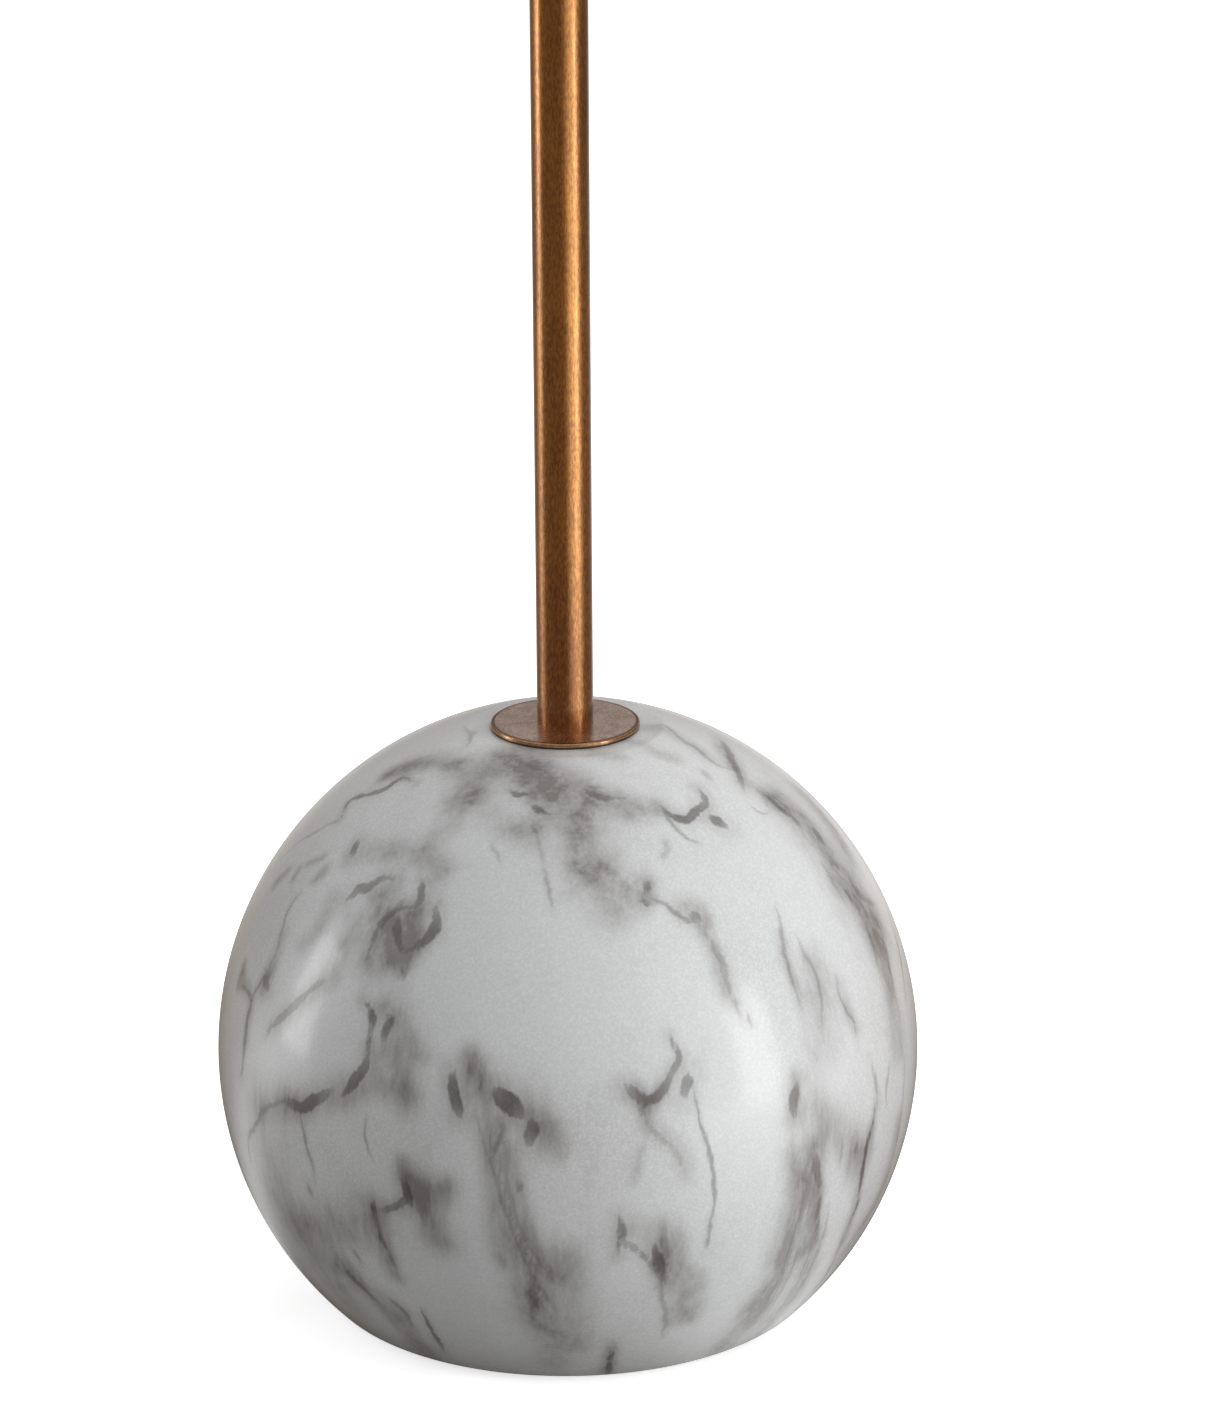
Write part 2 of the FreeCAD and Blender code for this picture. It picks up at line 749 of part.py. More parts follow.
def dimmer_body():
    """Rotary dimmer: a block with a threaded bushing, bored for the shaft."""
    block = primitive(
        "Box", "dimmer_block", Length="dimmer_width", Width="dimmer_depth", Height="dimmer_height"
    )
    place(block, x="- dimmer_width / 2", y="- dimmer_front", z="dimmer_low")
    bushing = primitive(
        "Cylinder", "dimmer_bushing", Radius="bushing_radius", Height="bushing_end"
    )
    place(bushing, z="knob_axis", rotation=TO_FRONT)
    bore_start = "dimmer_front - dimmer_bore_depth"
    bore = primitive(
        "Cylinder", "dimmer_bore", Radius="shaft_radius + running_gap", Height="housing_radius * 2"
    )
    place(bore, y=f"- ( {bore_start} )", z="knob_axis", rotation=TO_FRONT)
    return cut("dimmer", joined("dimmer_blank", [block, bushing]), bore)


def dimmer_nut():
    """Thin nut that clamps the dimmer's bushing to the housing."""
    nut = hex_nut("bushing_nut", "dimmer_nut_flats", "bushing_radius + thread_gap", "0",
                  "dimmer_nut_thickness")
    return place(nut, y="- housing_radius", z="knob_axis", rotation=TO_FRONT)


def dimmer_shaft():
    """Shaft in the dimmer's bore, with the knob on its front end."""
    start = "dimmer_front - dimmer_bore_depth + slip_gap"
    shaft = primitive(
        "Cylinder", "shaft", Radius="shaft_radius", Height=f"knob_bore_end - slip_gap - ( {start} )"
    )
    return place(shaft, y=f"- ( {start} )", z="knob_axis", rotation=TO_FRONT)


def dimmer_knob():
    """Fluted round knob with a pointer notch on its face."""
    body = turned(
        "knob_blank",
        [
            ("shaft_radius + thread_gap", "0"),
            ("knob_radius", "0"),
            ("knob_radius", "knob_length"),
            ("0", "knob_length"),
            ("0", "knob_bore_depth"),
            ("shaft_radius + thread_gap", "knob_bore_depth"),
        ],
    )
    dressed(body, "Fillet", "knob_round", [("knob_radius", "knob_length")])
    cutters = []
    for index in range(KNOB_FLUTES):
        flute = primitive(
            "Cylinder", f"knob_flute_{index}", Radius="knob_flute_radius", Height="knob_length"
        )
        cutters.append(around(flute, index, KNOB_FLUTES, "knob_radius", "knob_round * 2", 0))
    notch = primitive(
        "Box",
        "knob_notch",
        Length="knob_flute_radius * 2",
        Width="knob_radius",
        Height="knob_round",
    )
    place(notch, x="- knob_flute_radius", y="knob_radius / 3", z="knob_length - knob_round / 2")
    knob = cut("knob", body, joined("knob_cuts", cutters + [notch]))
    return place(knob, y="- knob_back", z="knob_axis", rotation=TO_FRONT)


def globe_holder():
    """Brass dish with a spigot below and three tapped bosses round its wall."""
    body = turned(
        "holder_dish",
        [
            ("tube_hole", "holder_seat"),
            ("tube_hole", "housing_top"),
            ("spigot_bore", "housing_top"),
            ("spigot_bore", "housing_top - spigot_length"),
            ("spigot_radius", "housing_top - spigot_length"),
            ("spigot_radius", "housing_top"),
            ("holder_radius", "housing_top"),
            ("holder_radius", "holder_rim"),
            ("holder_bore", "holder_rim"),
            ("holder_bore", "holder_seat"),
        ],
    )
    dressed(body, "Fillet", "holder_round", [("holder_radius", "housing_top")])
    dressed(body, "Fillet", "holder_rim_round", [("holder_radius", "holder_rim")])
    bosses = []
    drills = []
    for index in range(THUMB_SCREWS):
        turn = spoke(index, THUMB_SCREWS, 90)
        out = f"{turn.multVec(UP).x:.9f}", f"{turn.multVec(UP).y:.9f}"
        boss = primitive(
            "Cylinder",
            f"screw_boss_{index}",
            Radius="screw_boss_radius",
            Height="holder_wall / 2 + screw_boss_length",
        )
        start = "( holder_radius - holder_wall / 2 )"
        place(boss, f"{start} * {out[0]}", f"{start} * {out[1]}", "screw_height", turn)
        bosses.append(boss)
        drill = primitive(
            "Cylinder",
            f"screw_drill_{index}",
            Radius="screw_radius + running_gap",
            Height="holder_radius + screw_boss_length + cut_overrun",
        )
        place(drill, z="screw_height", rotation=turn)
        drills.append(drill)
    blank = joined("holder_blank", [body] + bosses)
    return cut("holder", blank, joined("holder_drills", drills))


def thumb_screw(index):
    """Screw with a grooved round head, on one of the holder's spokes."""
    groove_low = "screw_head_start + ( screw_head_length - screw_groove_width ) / 2"
    groove_high = f"{groove_low} + screw_groove_width"
    waist = "screw_head_radius - screw_groove_depth"
    body = turned(
        f"thumb_screw_form_{index}",
        [
            ("0", "screw_tip"),
            ("screw_radius", "screw_tip"),
            ("screw_radius", "screw_head_start"),
            ("screw_head_radius", "screw_head_start"),
            ("screw_head_radius", groove_low),
            (waist, groove_low),
            (waist, groove_high),
            ("screw_head_radius", groove_high),
            ("screw_head_radius", "screw_head_end"),
            ("0", "screw_head_end"),
        ],
    )
    ends = [("screw_head_radius", "screw_head_start"), ("screw_head_radius", "screw_head_end")]
    dressed(body, "Fillet", "screw_head_round", ends)
    return place(body, z="screw_height", rotation=spoke(index, THUMB_SCREWS, 90))


def lamp_holder():
    """Insulating cup for the lamp's screw shell, on the holder's nipple."""
    return turned(
        "lamp_cup",
        [
            ("tube_thread", "holder_seat"),
            ("lamp_holder_radius", "holder_seat"),
            ("lamp_holder_radius", "lamp_holder_top"),
            ("lamp_holder_bore", "lamp_holder_top"),
            ("lamp_holder_bore", "lamp_floor_top"),
            ("tube_thread", "lamp_floor_top"),
        ],
    )


# Screw-in lamp


def lamp_insulator():
    """Glass cone between the lamp's tip and its cap."""
    return turned(
        "insulator",
        [
            ("0", "insulator_low"),
            ("lamp_tip_radius", "insulator_low"),
            ("lamp_cap_radius - screw_shell_gap", "cap_low"),
            ("0", "cap_low"),
        ],
    )


def lamp_housing():
    """Hollow plastic body from the cap to the rim that carries the light board."""
    return turned(
        "lamp_shell",
        [
            ("lamp_spigot_bore", "cap_top - lamp_spigot_length"),
            ("lamp_spigot_radius", "cap_top - lamp_spigot_length"),
            ("lamp_spigot_radius", "cap_top"),
            ("lamp_collar_radius", "cap_top"),
            ("lamp_collar_radius", "lamp_flare_low"),
            ("lamp_head_radius", "lamp_rim"),
            ("lamp_rim_bore", "lamp_rim"),
            ("lamp_rim_bore", "board_low"),
            ("lamp_rim_bore - lamp_wall", "board_low"),
            ("lamp_spigot_bore", "lamp_flare_low"),
        ],
    )


def lamp_diffuser():
    """Thin dome over the light board."""
    inner = "( lamp_head_radius - lamp_wall )"
    return turned(
        "lamp_dome",
        [
            ("lamp_head_radius", "lamp_rim"),
            ("0", "lamp_rim + lamp_head_radius"),
            ("0", f"lamp_rim + {inner}"),
            (inner, "lamp_rim"),
        ],
        arcs={0: "lamp_rim", 2: "lamp_rim"},
        settled={1: "height", 3: "radius"},
    )


def driver_board():
    """Upright board under the light board."""
    board = primitive(
        "Box", "driver", Length="driver_width", Width="board_thickness", Height="driver_drop"
    )
    return place(
        board, x="- driver_width / 2", y="- board_thickness / 2", z="board_low - driver_drop"
    )


def light_chips():
    """Light chips in a ring on the light board."""
    chips = []
    for index in range(LAMP_CHIPS):
        chip = primitive(
            "Cylinder", f"chip_{index}", Radius="chip_width / 2", Height="chip_height"
        )
        chips.append(around(chip, index, LAMP_CHIPS, "chip_ring_radius", "lamp_rim", 0))
    group = doc.addObject("Part::Compound", "chip_group")
    group.Links = chips
    return group


def collar_cup():
    """Cupped ring on the collar that follows the glass from below."""
    return turned(
        "collar_cup_ring",
        [
            ("collar_thread", "cup_low"),
            ("collar_cup_radius", "cup_low"),
            ("collar_cup_radius", "cup_edge"),
            ("collar_thread", "cup_seat"),
        ],
    )


def collar_nut():
    """Ring nut on the collar, seated on the inside of the glass."""
    return turned(
        "collar_ring_nut",
        [
            ("collar_thread", "collar_nut_seat"),
            ("collar_nut_radius", "collar_nut_rise"),
            ("collar_nut_radius", "collar_nut_top"),
            ("collar_thread", "collar_nut_top"),
        ],
    )


def glass_globe():
    """Opal glass ball with a round mouth below."""
    return turned(
        "globe",
        [
            ("0", "globe_centre + globe_radius"),
            ("mouth_radius", "globe_mouth"),
            ("mouth_radius", "mouth_inside"),
            ("0", "globe_centre + globe_bore"),
        ],
        arcs={0: "globe_centre", 2: "globe_centre"},
        settled={1: "height", 3: "height"},
    )


# The sub-parts, from the floor up
node(ring("felt", "0", "foot_radius - felt_inset", "0", "foot"), "felt_pad")
node(marble_ball(), "marble_ball")
node(base_plate(), "base_plate")
node(plate_screws(), "plate_screws")
node(ballast_weight(), "ballast_weight")
node(ring("tube", "tube_bore", "tube_radius", "tube_bottom", "tube_top"), "tie_tube")
node(
    ring("tie_washer_ring", "tube_hole", "tie_washer_radius", "tie_washer_low", "pocket_roof"),
    "tie_washer",
)
node(tie_spring_washer(), "tie_spring_washer")
node(
    hex_nut("tie_nut_form", "tie_nut_flats", "tube_thread", "tie_nut_low", "tie_nut_thickness"),
    "tie_nut",
)
node(cord_gland(), "cord_gland")
node(gland_nut(), "gland_nut")
node(terminal_block(), "terminal_block")
node(supply_lead(), "supply_lead")

flange = ring("flange_disc", "tube_hole", "flange_radius", "crown", "flange_top")
node(dressed(flange, "Fillet", "flange_round", [("flange_radius", "flange_top")]), "crown_flange")
node(
    ring("foot_plug", "tube_thread", "plug_radius", "flange_top", "flange_top + plug_length"),
    "pole_foot_plug",
)
SECTIONS = [
    ("lower_pole", "flange_top", "lower_seam"),
    ("middle_pole", "lower_seam", "upper_seam"),
    ("upper_pole", "upper_seam", "pole_top"),
]
for label, low, high in SECTIONS:
    section = ring(label + "_tube", "pole_bore", "pole_radius", low, high)
    ends = [("pole_radius", low), ("pole_radius", high)]
    node(dressed(section, "Chamfer", "pole_end_chamfer", ends), label)
for label, seam in (("lower_coupler", "lower_seam"), ("upper_coupler", "upper_seam")):
    stud = ring(
        label + "_stud",
        "coupler_bore",
        "plug_radius",
        f"{seam} - coupler_reach",
        f"{seam} + coupler_reach",
    )
    node(stud, label)
node(
    ring("head_plug", "tube_thread", "plug_radius", "pole_top - plug_length", "pole_top"),
    "pole_head_plug",
)

node(ring("nipple", "tube_bore", "tube_radius", "nipple_bottom", "nipple_top"), "head_nipple")
node(
    hex_nut(
        "nipple_nut_form", "nipple_nut_flats", "tube_thread", "housing_floor_top",
        "nipple_nut_thickness",
    ),
    "head_nipple_nut",
)
node(switch_housing(), "switch_housing")
node(dimmer_body(), "dimmer_body")
node(dimmer_nut(), "dimmer_nut")
node(dimmer_shaft(), "dimmer_shaft")
node(dimmer_knob(), "dimmer_knob")
node(globe_holder(), "globe_holder")
for index in range(THUMB_SCREWS):
    node(thumb_screw(index), f"thumb_screw_{index + 1}")
node(
    ring(
        "upper_nipple", "tube_bore", "tube_radius", "housing_top - holder_nipple_drop",
        "lamp_floor_top - slip_gap",
    ),
    "holder_nipple",
)
node(
    hex_nut(
        "holder_nut_form", "nipple_nut_flats", "tube_thread", "housing_top - nipple_nut_thickness",
        "nipple_nut_thickness",
    ),
    "holder_nipple_nut",
)
node(ring("upper_lead", "0", "lamp_lead_radius", "dimmer_top", "lamp_floor_top"), "lamp_lead")
node(lamp_holder(), "lamp_holder")
node(ring("contact_disc", "0", "shell_radius", "lamp_floor_top", "contact_low"), "contact_base")
node(ring("contact", "0", "contact_radius", "contact_low", "lamp_tip"), "centre_contact")
node(
    ring(
        "thread_sleeve", "shell_bore", "shell_radius", "contact_low",
        "contact_low + screw_shell_length",
    ),
    "screw_shell",
)
node(ring("tip", "0", "lamp_tip_radius", "lamp_tip", "insulator_low"), "lamp_tip_contact")
node(lamp_insulator(), "lamp_insulator")
node(ring("cap", "cap_bore", "lamp_cap_radius", "cap_low", "cap_top"), "lamp_cap")
node(lamp_housing(), "lamp_housing")
node(driver_board(), "driver_board")
node(ring("board", "0", "lamp_rim_bore - slip_gap", "board_low", "lamp_rim"), "light_board")
node(light_chips(), "light_chips")
node(lamp_diffuser(), "lamp_diffuser")
node(ring("seal", "seal_bore", "seal_radius", "holder_seat", "collar_low"), "globe_seal")
node(ring("collar", "collar_bore", "collar_radius", "collar_low", "collar_top"), "globe_collar")
node(collar_cup(), "collar_cup")
node(collar_nut(), "collar_nut")
node(glass_globe(), "glass_globe")

doc.recompute()

for item in doc.Objects:
    if "Invalid" in item.State or "Error" in item.State:
        raise RuntimeError(f"{item.Name} failed: {item.State}")
for item in nodes:
    if item.Shape.isNull() or not item.Shape.isValid() or not item.Shape.Solids:
        raise RuntimeError(f"{item.Label} has no valid solid")
for item in nodes:
    item.Shape.exportStep(f"parts/{item.Label}.step")
print(len(nodes), "sub-parts written")
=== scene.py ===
import json
import math

import bpy
import numpy as np
from mathutils import Matrix, Vector, noise


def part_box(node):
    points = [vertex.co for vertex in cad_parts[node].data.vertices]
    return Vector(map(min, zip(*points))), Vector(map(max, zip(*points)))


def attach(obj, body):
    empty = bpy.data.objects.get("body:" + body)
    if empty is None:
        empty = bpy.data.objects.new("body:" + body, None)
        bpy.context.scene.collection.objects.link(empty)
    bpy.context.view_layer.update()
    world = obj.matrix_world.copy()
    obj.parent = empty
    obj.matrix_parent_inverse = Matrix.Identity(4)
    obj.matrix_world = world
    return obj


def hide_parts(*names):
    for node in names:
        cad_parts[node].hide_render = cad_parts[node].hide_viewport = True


# The looks of a floor lamp: marbled ball foot, antique brass pole, opal globe.
# Metres, +Z up, the front faces -Y. What replaces a node takes its place and size from the frame.

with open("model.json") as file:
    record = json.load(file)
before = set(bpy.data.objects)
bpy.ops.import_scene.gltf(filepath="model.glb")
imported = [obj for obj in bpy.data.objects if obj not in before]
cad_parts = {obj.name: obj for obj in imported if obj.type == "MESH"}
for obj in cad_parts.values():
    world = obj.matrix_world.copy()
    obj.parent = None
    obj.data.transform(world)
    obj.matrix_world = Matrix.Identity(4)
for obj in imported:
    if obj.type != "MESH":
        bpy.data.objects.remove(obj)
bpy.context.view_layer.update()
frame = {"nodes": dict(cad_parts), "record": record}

MM = 0.001
BALL_RADIUS = -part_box("marble_ball")[0].x
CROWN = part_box("crown_flange")[0].z
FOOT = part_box("felt_pad")[1].z
CROWN_FLAT = 33 * MM
BALL_CENTRE = CROWN - math.sqrt(BALL_RADIUS**2 - CROWN_FLAT**2)
BALL_MIDDLE = Vector((0, 0, BALL_CENTRE))

# Camera, fitted to the ball, the flange and the pole in the photograph

PHOTO_WIDTH = 1229
PHOTO_HEIGHT = 1428
FOCAL_PIXELS = 5013
CAMERA_PLACE = Vector((16.59 * MM, -1.6, BALL_CENTRE + 651.51 * MM))
CAMERA_PITCH = math.radians(18.393)
CAMERA_ROLL = math.radians(-0.323)
SENSOR = 36


def camera_turn():
    """The camera's rotation: level, then pitched down, then rolled about its own axis."""
    pitch = Matrix.Rotation(math.pi / 2 - CAMERA_PITCH, 3, "X")
    return pitch @ Matrix.Rotation(CAMERA_ROLL, 3, "Z")


def new_object(name, data):
    """An object in the scene."""
    made = bpy.data.objects.new(name, data)
    bpy.context.collection.objects.link(made)
    return made


def add_camera():
    data = bpy.data.cameras.new("camera")
    data.sensor_width = SENSOR
    data.lens = FOCAL_PIXELS * SENSOR / PHOTO_HEIGHT
    camera = new_object("camera", data)
    camera.matrix_world = Matrix.LocRotScale(CAMERA_PLACE, camera_turn().to_quaternion(), None)
    bpy.context.scene.camera = camera


# Node trees


def new_tree(name):
    """A new material, its node tree and its Principled shader."""
    material = bpy.data.materials.new(name)
    material.use_nodes = True
    return material, material.node_tree, material.node_tree.nodes["Principled BSDF"]


def feed(item, inputs):
    """Gives a node's inputs another node's socket or a plain value each."""
    for key, source in inputs.items():
        if isinstance(source, bpy.types.NodeSocket):
            item.id_data.links.new(source, item.inputs[key])
        else:
            item.inputs[key].default_value = source


def add(tree, kind, inputs=None, **settings):
    """A node with its own settings and its inputs."""
    item = tree.nodes.new("ShaderNode" + kind)
    for key, setting in settings.items():
        setattr(item, key, setting)
    feed(item, inputs or {})
    return item


def object_place(tree, rise=1):
    """Object coordinates, with the height scaled by rise."""
    place = add(tree, "TexCoord").outputs["Object"]
    return add(tree, "Mapping", {"Vector": place, "Scale": (1, 1, rise)}).outputs["Vector"]


def texture(tree, scale, detail, roughness=0.5, distortion=0, rise=1):
    """A noise texture's value; a rise below 1 draws it out along the height."""
    return add(tree, "TexNoise", {
        "Vector": object_place(tree, rise), "Scale": scale, "Detail": detail,
        "Roughness": roughness, "Distortion": distortion,
    }).outputs["Fac"]


def remap(socket, low, high, new_low=0, new_high=1, smooth=False):
    """A value taken from one range to another, clamped."""
    ranges = {"From Min": low, "From Max": high, "To Min": new_low, "To Max": new_high}
    kind = "SMOOTHSTEP" if smooth else "LINEAR"
    item = add(socket.id_data, "MapRange", {"Value": socket, **ranges}, interpolation_type=kind)
    return item.outputs["Result"]


def maths(operation, first, *others):
    """Arithmetic on a socket and others or numbers, from left to right."""
    for other in others:
        terms = {0: first, 1: other}
        first = add(first.id_data, "Math", terms, operation=operation).outputs[0]
    return first


def mix(factor, first, second):
    """Two colours mixed by a socket; each is a socket or an (r, g, b) triple."""
    ends = [(*colour, 1) if isinstance(colour, tuple) else colour for colour in (first, second)]
    inputs = {0: factor, 6: ends[0], 7: ends[1]}
    return add(factor.id_data, "Mix", inputs, data_type="RGBA").outputs[2]


def add_bump(shader, height, strength, distance):
    """Bump on a shader's normal; gives the bumped normal."""
    inputs = {"Height": height, "Strength": strength, "Distance": distance}
    normal = add(shader.id_data, "Bump", inputs).outputs["Normal"]
    feed(shader, {"Normal": normal})
    return normal


def height_of(place):
    """The Z of a vector socket."""
    return add(place.id_data, "SeparateXYZ", {"Vector": place}).outputs["Z"]


def length_of(place):
    """The length of a vector socket."""
    item = add(place.id_data, "VectorMath", {"Vector": place}, operation="LENGTH")
    return item.outputs["Value"]


def srgb(red, green, blue):
    """Linear colour from 0 to 255 display values."""

    def channel(level):
        share = level / 255
        return share / 12.92 if share <= 0.04045 else ((share + 0.055) / 1.055) ** 2.4

    return channel(red), channel(green), channel(blue)


# Materials

BRASS_TONE = (0.69, 0.3, 0.06)
BRASS_PATINA = (0.27, 0.095, 0.016)
BRASS_ROUGHNESS = 0.28
FOOT_SHADE_HEIGHT = 70 * MM
FLANGE_TONE = (0.36, 0.225, 0.18)
FLANGE_PALE = (0.84, 0.66, 0.57)
FLANGE_EDGE_SHADE = (0.12, 0.06, 0.035)
FLANGE_RUBBED_HIGHLIGHT = (0.62, 0.36, 0.19)
# From the flange's edge outwards, and from the crown upwards
EDGE_SHADE_BAND = (-1.5 * MM, -1.1 * MM)
RUBBED_HIGHLIGHT_RIM = (-0.6 * MM, -0.3 * MM)
RUBBED_HIGHLIGHT_TOP = (0.6 * MM, 0.9 * MM)
MARBLE_GROUND = srgb(226, 228, 228)
MARBLE_CLOUD = srgb(209, 210, 211)
MARBLE_GLINT = srgb(246, 247, 247)
MARBLE_HAZE = srgb(120, 115, 112)
MARBLE_INK = srgb(84, 78, 75)
PRINT_FIELDS = (
    "thin_side", "thin_half", "thin_dark", "thin_near", "bold_inside", "bold_dark", "haze"
)
OPAL_TONE = srgb(246, 244, 238)
OPAL_SHADE = srgb(240, 238, 231)
# Two tones, a roughness and what else sets a plain finish apart
PLAIN_FINISHES = {
    "felt": ((0.02, 0.02, 0.022), (0.03, 0.03, 0.03), 0.95, {"scale": 900}),
    "white_plastic": (srgb(236, 236, 232), srgb(228, 228, 224), 0.4, {}),
    "opal_plastic": (srgb(245, 244, 240), srgb(238, 237, 232), 0.35, {"coat": 0.3}),
    "black_plastic": ((0.012, 0.012, 0.012), (0.02, 0.02, 0.02), 0.45, {}),
    "lead_jacket": ((0.015, 0.015, 0.015), (0.022, 0.022, 0.022), 0.5, {}),
    "steel": ((0.5, 0.5, 0.52), (0.42, 0.42, 0.44), 0.3, {"metallic": 1}),
    "zinc_steel": ((0.58, 0.6, 0.64), (0.5, 0.51, 0.52), 0.32, {"scale": 500, "metallic": 1}),
    "iron": ((0.06, 0.06, 0.062), (0.1, 0.1, 0.1), 0.75, {"scale": 400, "bump": 0.6}),
    "contact_brass": ((0.75, 0.55, 0.25), (0.66, 0.47, 0.2), 0.25, {"metallic": 1}),
    "black_glass": ((0.01, 0.01, 0.012), (0.015, 0.015, 0.015), 0.12, {"coat": 0.5}),
    "nickel_cap": ((0.72, 0.7, 0.66), (0.64, 0.62, 0.58), 0.22, {"metallic": 1}),
    "board": ((0.01, 0.12, 0.04), (0.015, 0.16, 0.06), 0.4, {}),
    "board_white": (srgb(240, 240, 238), srgb(232, 232, 230), 0.35, {}),
    "chip_yellow": (srgb(238, 205, 80), srgb(228, 190, 60), 0.3, {}),
    "seal_rubber": (srgb(214, 211, 202), srgb(204, 200, 190), 0.6, {}),
}


def plain_material(name, tone, second, roughness, scale=220, metallic=0, bump=0.1, coat=0):
    """A finish with slight mottling, uneven gloss and a fine surface."""
    material, tree, shader = new_tree(name)
    cloud = texture(tree, scale, 4, 0.55)
    fine = texture(tree, scale * 9, 2)
    feed(shader, {
        "Base Color": mix(remap(cloud, 0.3, 0.7), tone, second),
        "Roughness": remap(fine, 0.3, 0.7, roughness * 0.85, roughness * 1.15),
        "Metallic": metallic, "Coat Weight": coat,
    })
    add_bump(shader, fine, bump, 0.1 * MM)
    return material


def brass_material():
    """Antiqued brass, brushed lengthwise, mottled by patina; painted shade darkens the foot."""
    material, tree, shader = new_tree("antique_brass")
    lines = texture(tree, 1400, 2, rise=0.03)
    clouds = texture(tree, 60, 4, 0.6, rise=0.35)
    flecks = texture(tree, 1600, 3, 0.6, rise=0.3)
    grain = texture(tree, 2600, 2)
    mottle = maths(
        "ADD",
        remap(clouds, 0.35, 0.7, 0, 0.4),
        remap(lines, 0.3, 0.7, 0, 0.25),
        remap(flecks, 0.4, 0.6, 0, 0.5),
        remap(grain, 0.6, 0.75, 0, 0.5),
        # painted shade: the lowest part of the pole is darker towards the flange
        remap(height_of(object_place(tree)), CROWN, CROWN + FOOT_SHADE_HEIGHT, 0.3, 0),
    )
    feed(shader, {
        "Base Color": mix(mottle, BRASS_TONE, BRASS_PATINA),
        "Roughness": remap(lines, 0.3, 0.7, BRASS_ROUGHNESS * 0.85, BRASS_ROUGHNESS * 1.2),
        "Metallic": 1, "Coat Weight": 1, "Coat IOR": 1.55, "Coat Roughness": 0.2,
    })
    surface = maths("ADD", flecks, grain, lines)
    add_bump(shader, surface, 0.2, 0.05 * MM)
    return material


def flange_material(edge):
    """Mottled patina, and a dark band of painted shade at the edge. The rolled edge's upper
    side is lighter, as worn bare brass and painted highlight; its lower side stays dark.
    """
    material, tree, shader = new_tree("flange_brass")
    clouds = texture(tree, 210, 5, 0.65)
    grain = texture(tree, 2300, 3, 0.6)
    wear = texture(tree, 700, 3)
    mottle = maths("ADD", remap(clouds, 0.35, 0.65, 0, 0.6), remap(grain, 0.4, 0.66, 0, 0.6))
    outward = maths("SUBTRACT", length_of(object_place(tree, 0)), edge)
    upward = maths("SUBTRACT", height_of(object_place(tree)), CROWN)
    # worn brass and painted highlight: lighter only on the upper side of the rolled edge
    rubbed_and_highlight = maths(
        "MULTIPLY",
        remap(outward, *RUBBED_HIGHLIGHT_RIM),
        remap(upward, *RUBBED_HIGHLIGHT_TOP),
        remap(wear, 0.25, 0.6, 0.45, 1),
    )
    face = mix(mottle, FLANGE_TONE, FLANGE_PALE)
    # painted shade: from just inside the rolled edge outwards the disc is dark, a shaded groove and the
    # edge's shaded lower side
    face = mix(remap(outward, *EDGE_SHADE_BAND), face, FLANGE_EDGE_SHADE)
    feed(shader, {
        "Base Color": mix(rubbed_and_highlight, face, FLANGE_RUBBED_HIGHLIGHT),
        "Roughness": remap(grain, 0.3, 0.7, 0.16, 0.3),
        "Metallic": 1,
    })
    add_bump(shader, grain, 0.15, 0.04 * MM)
    return material


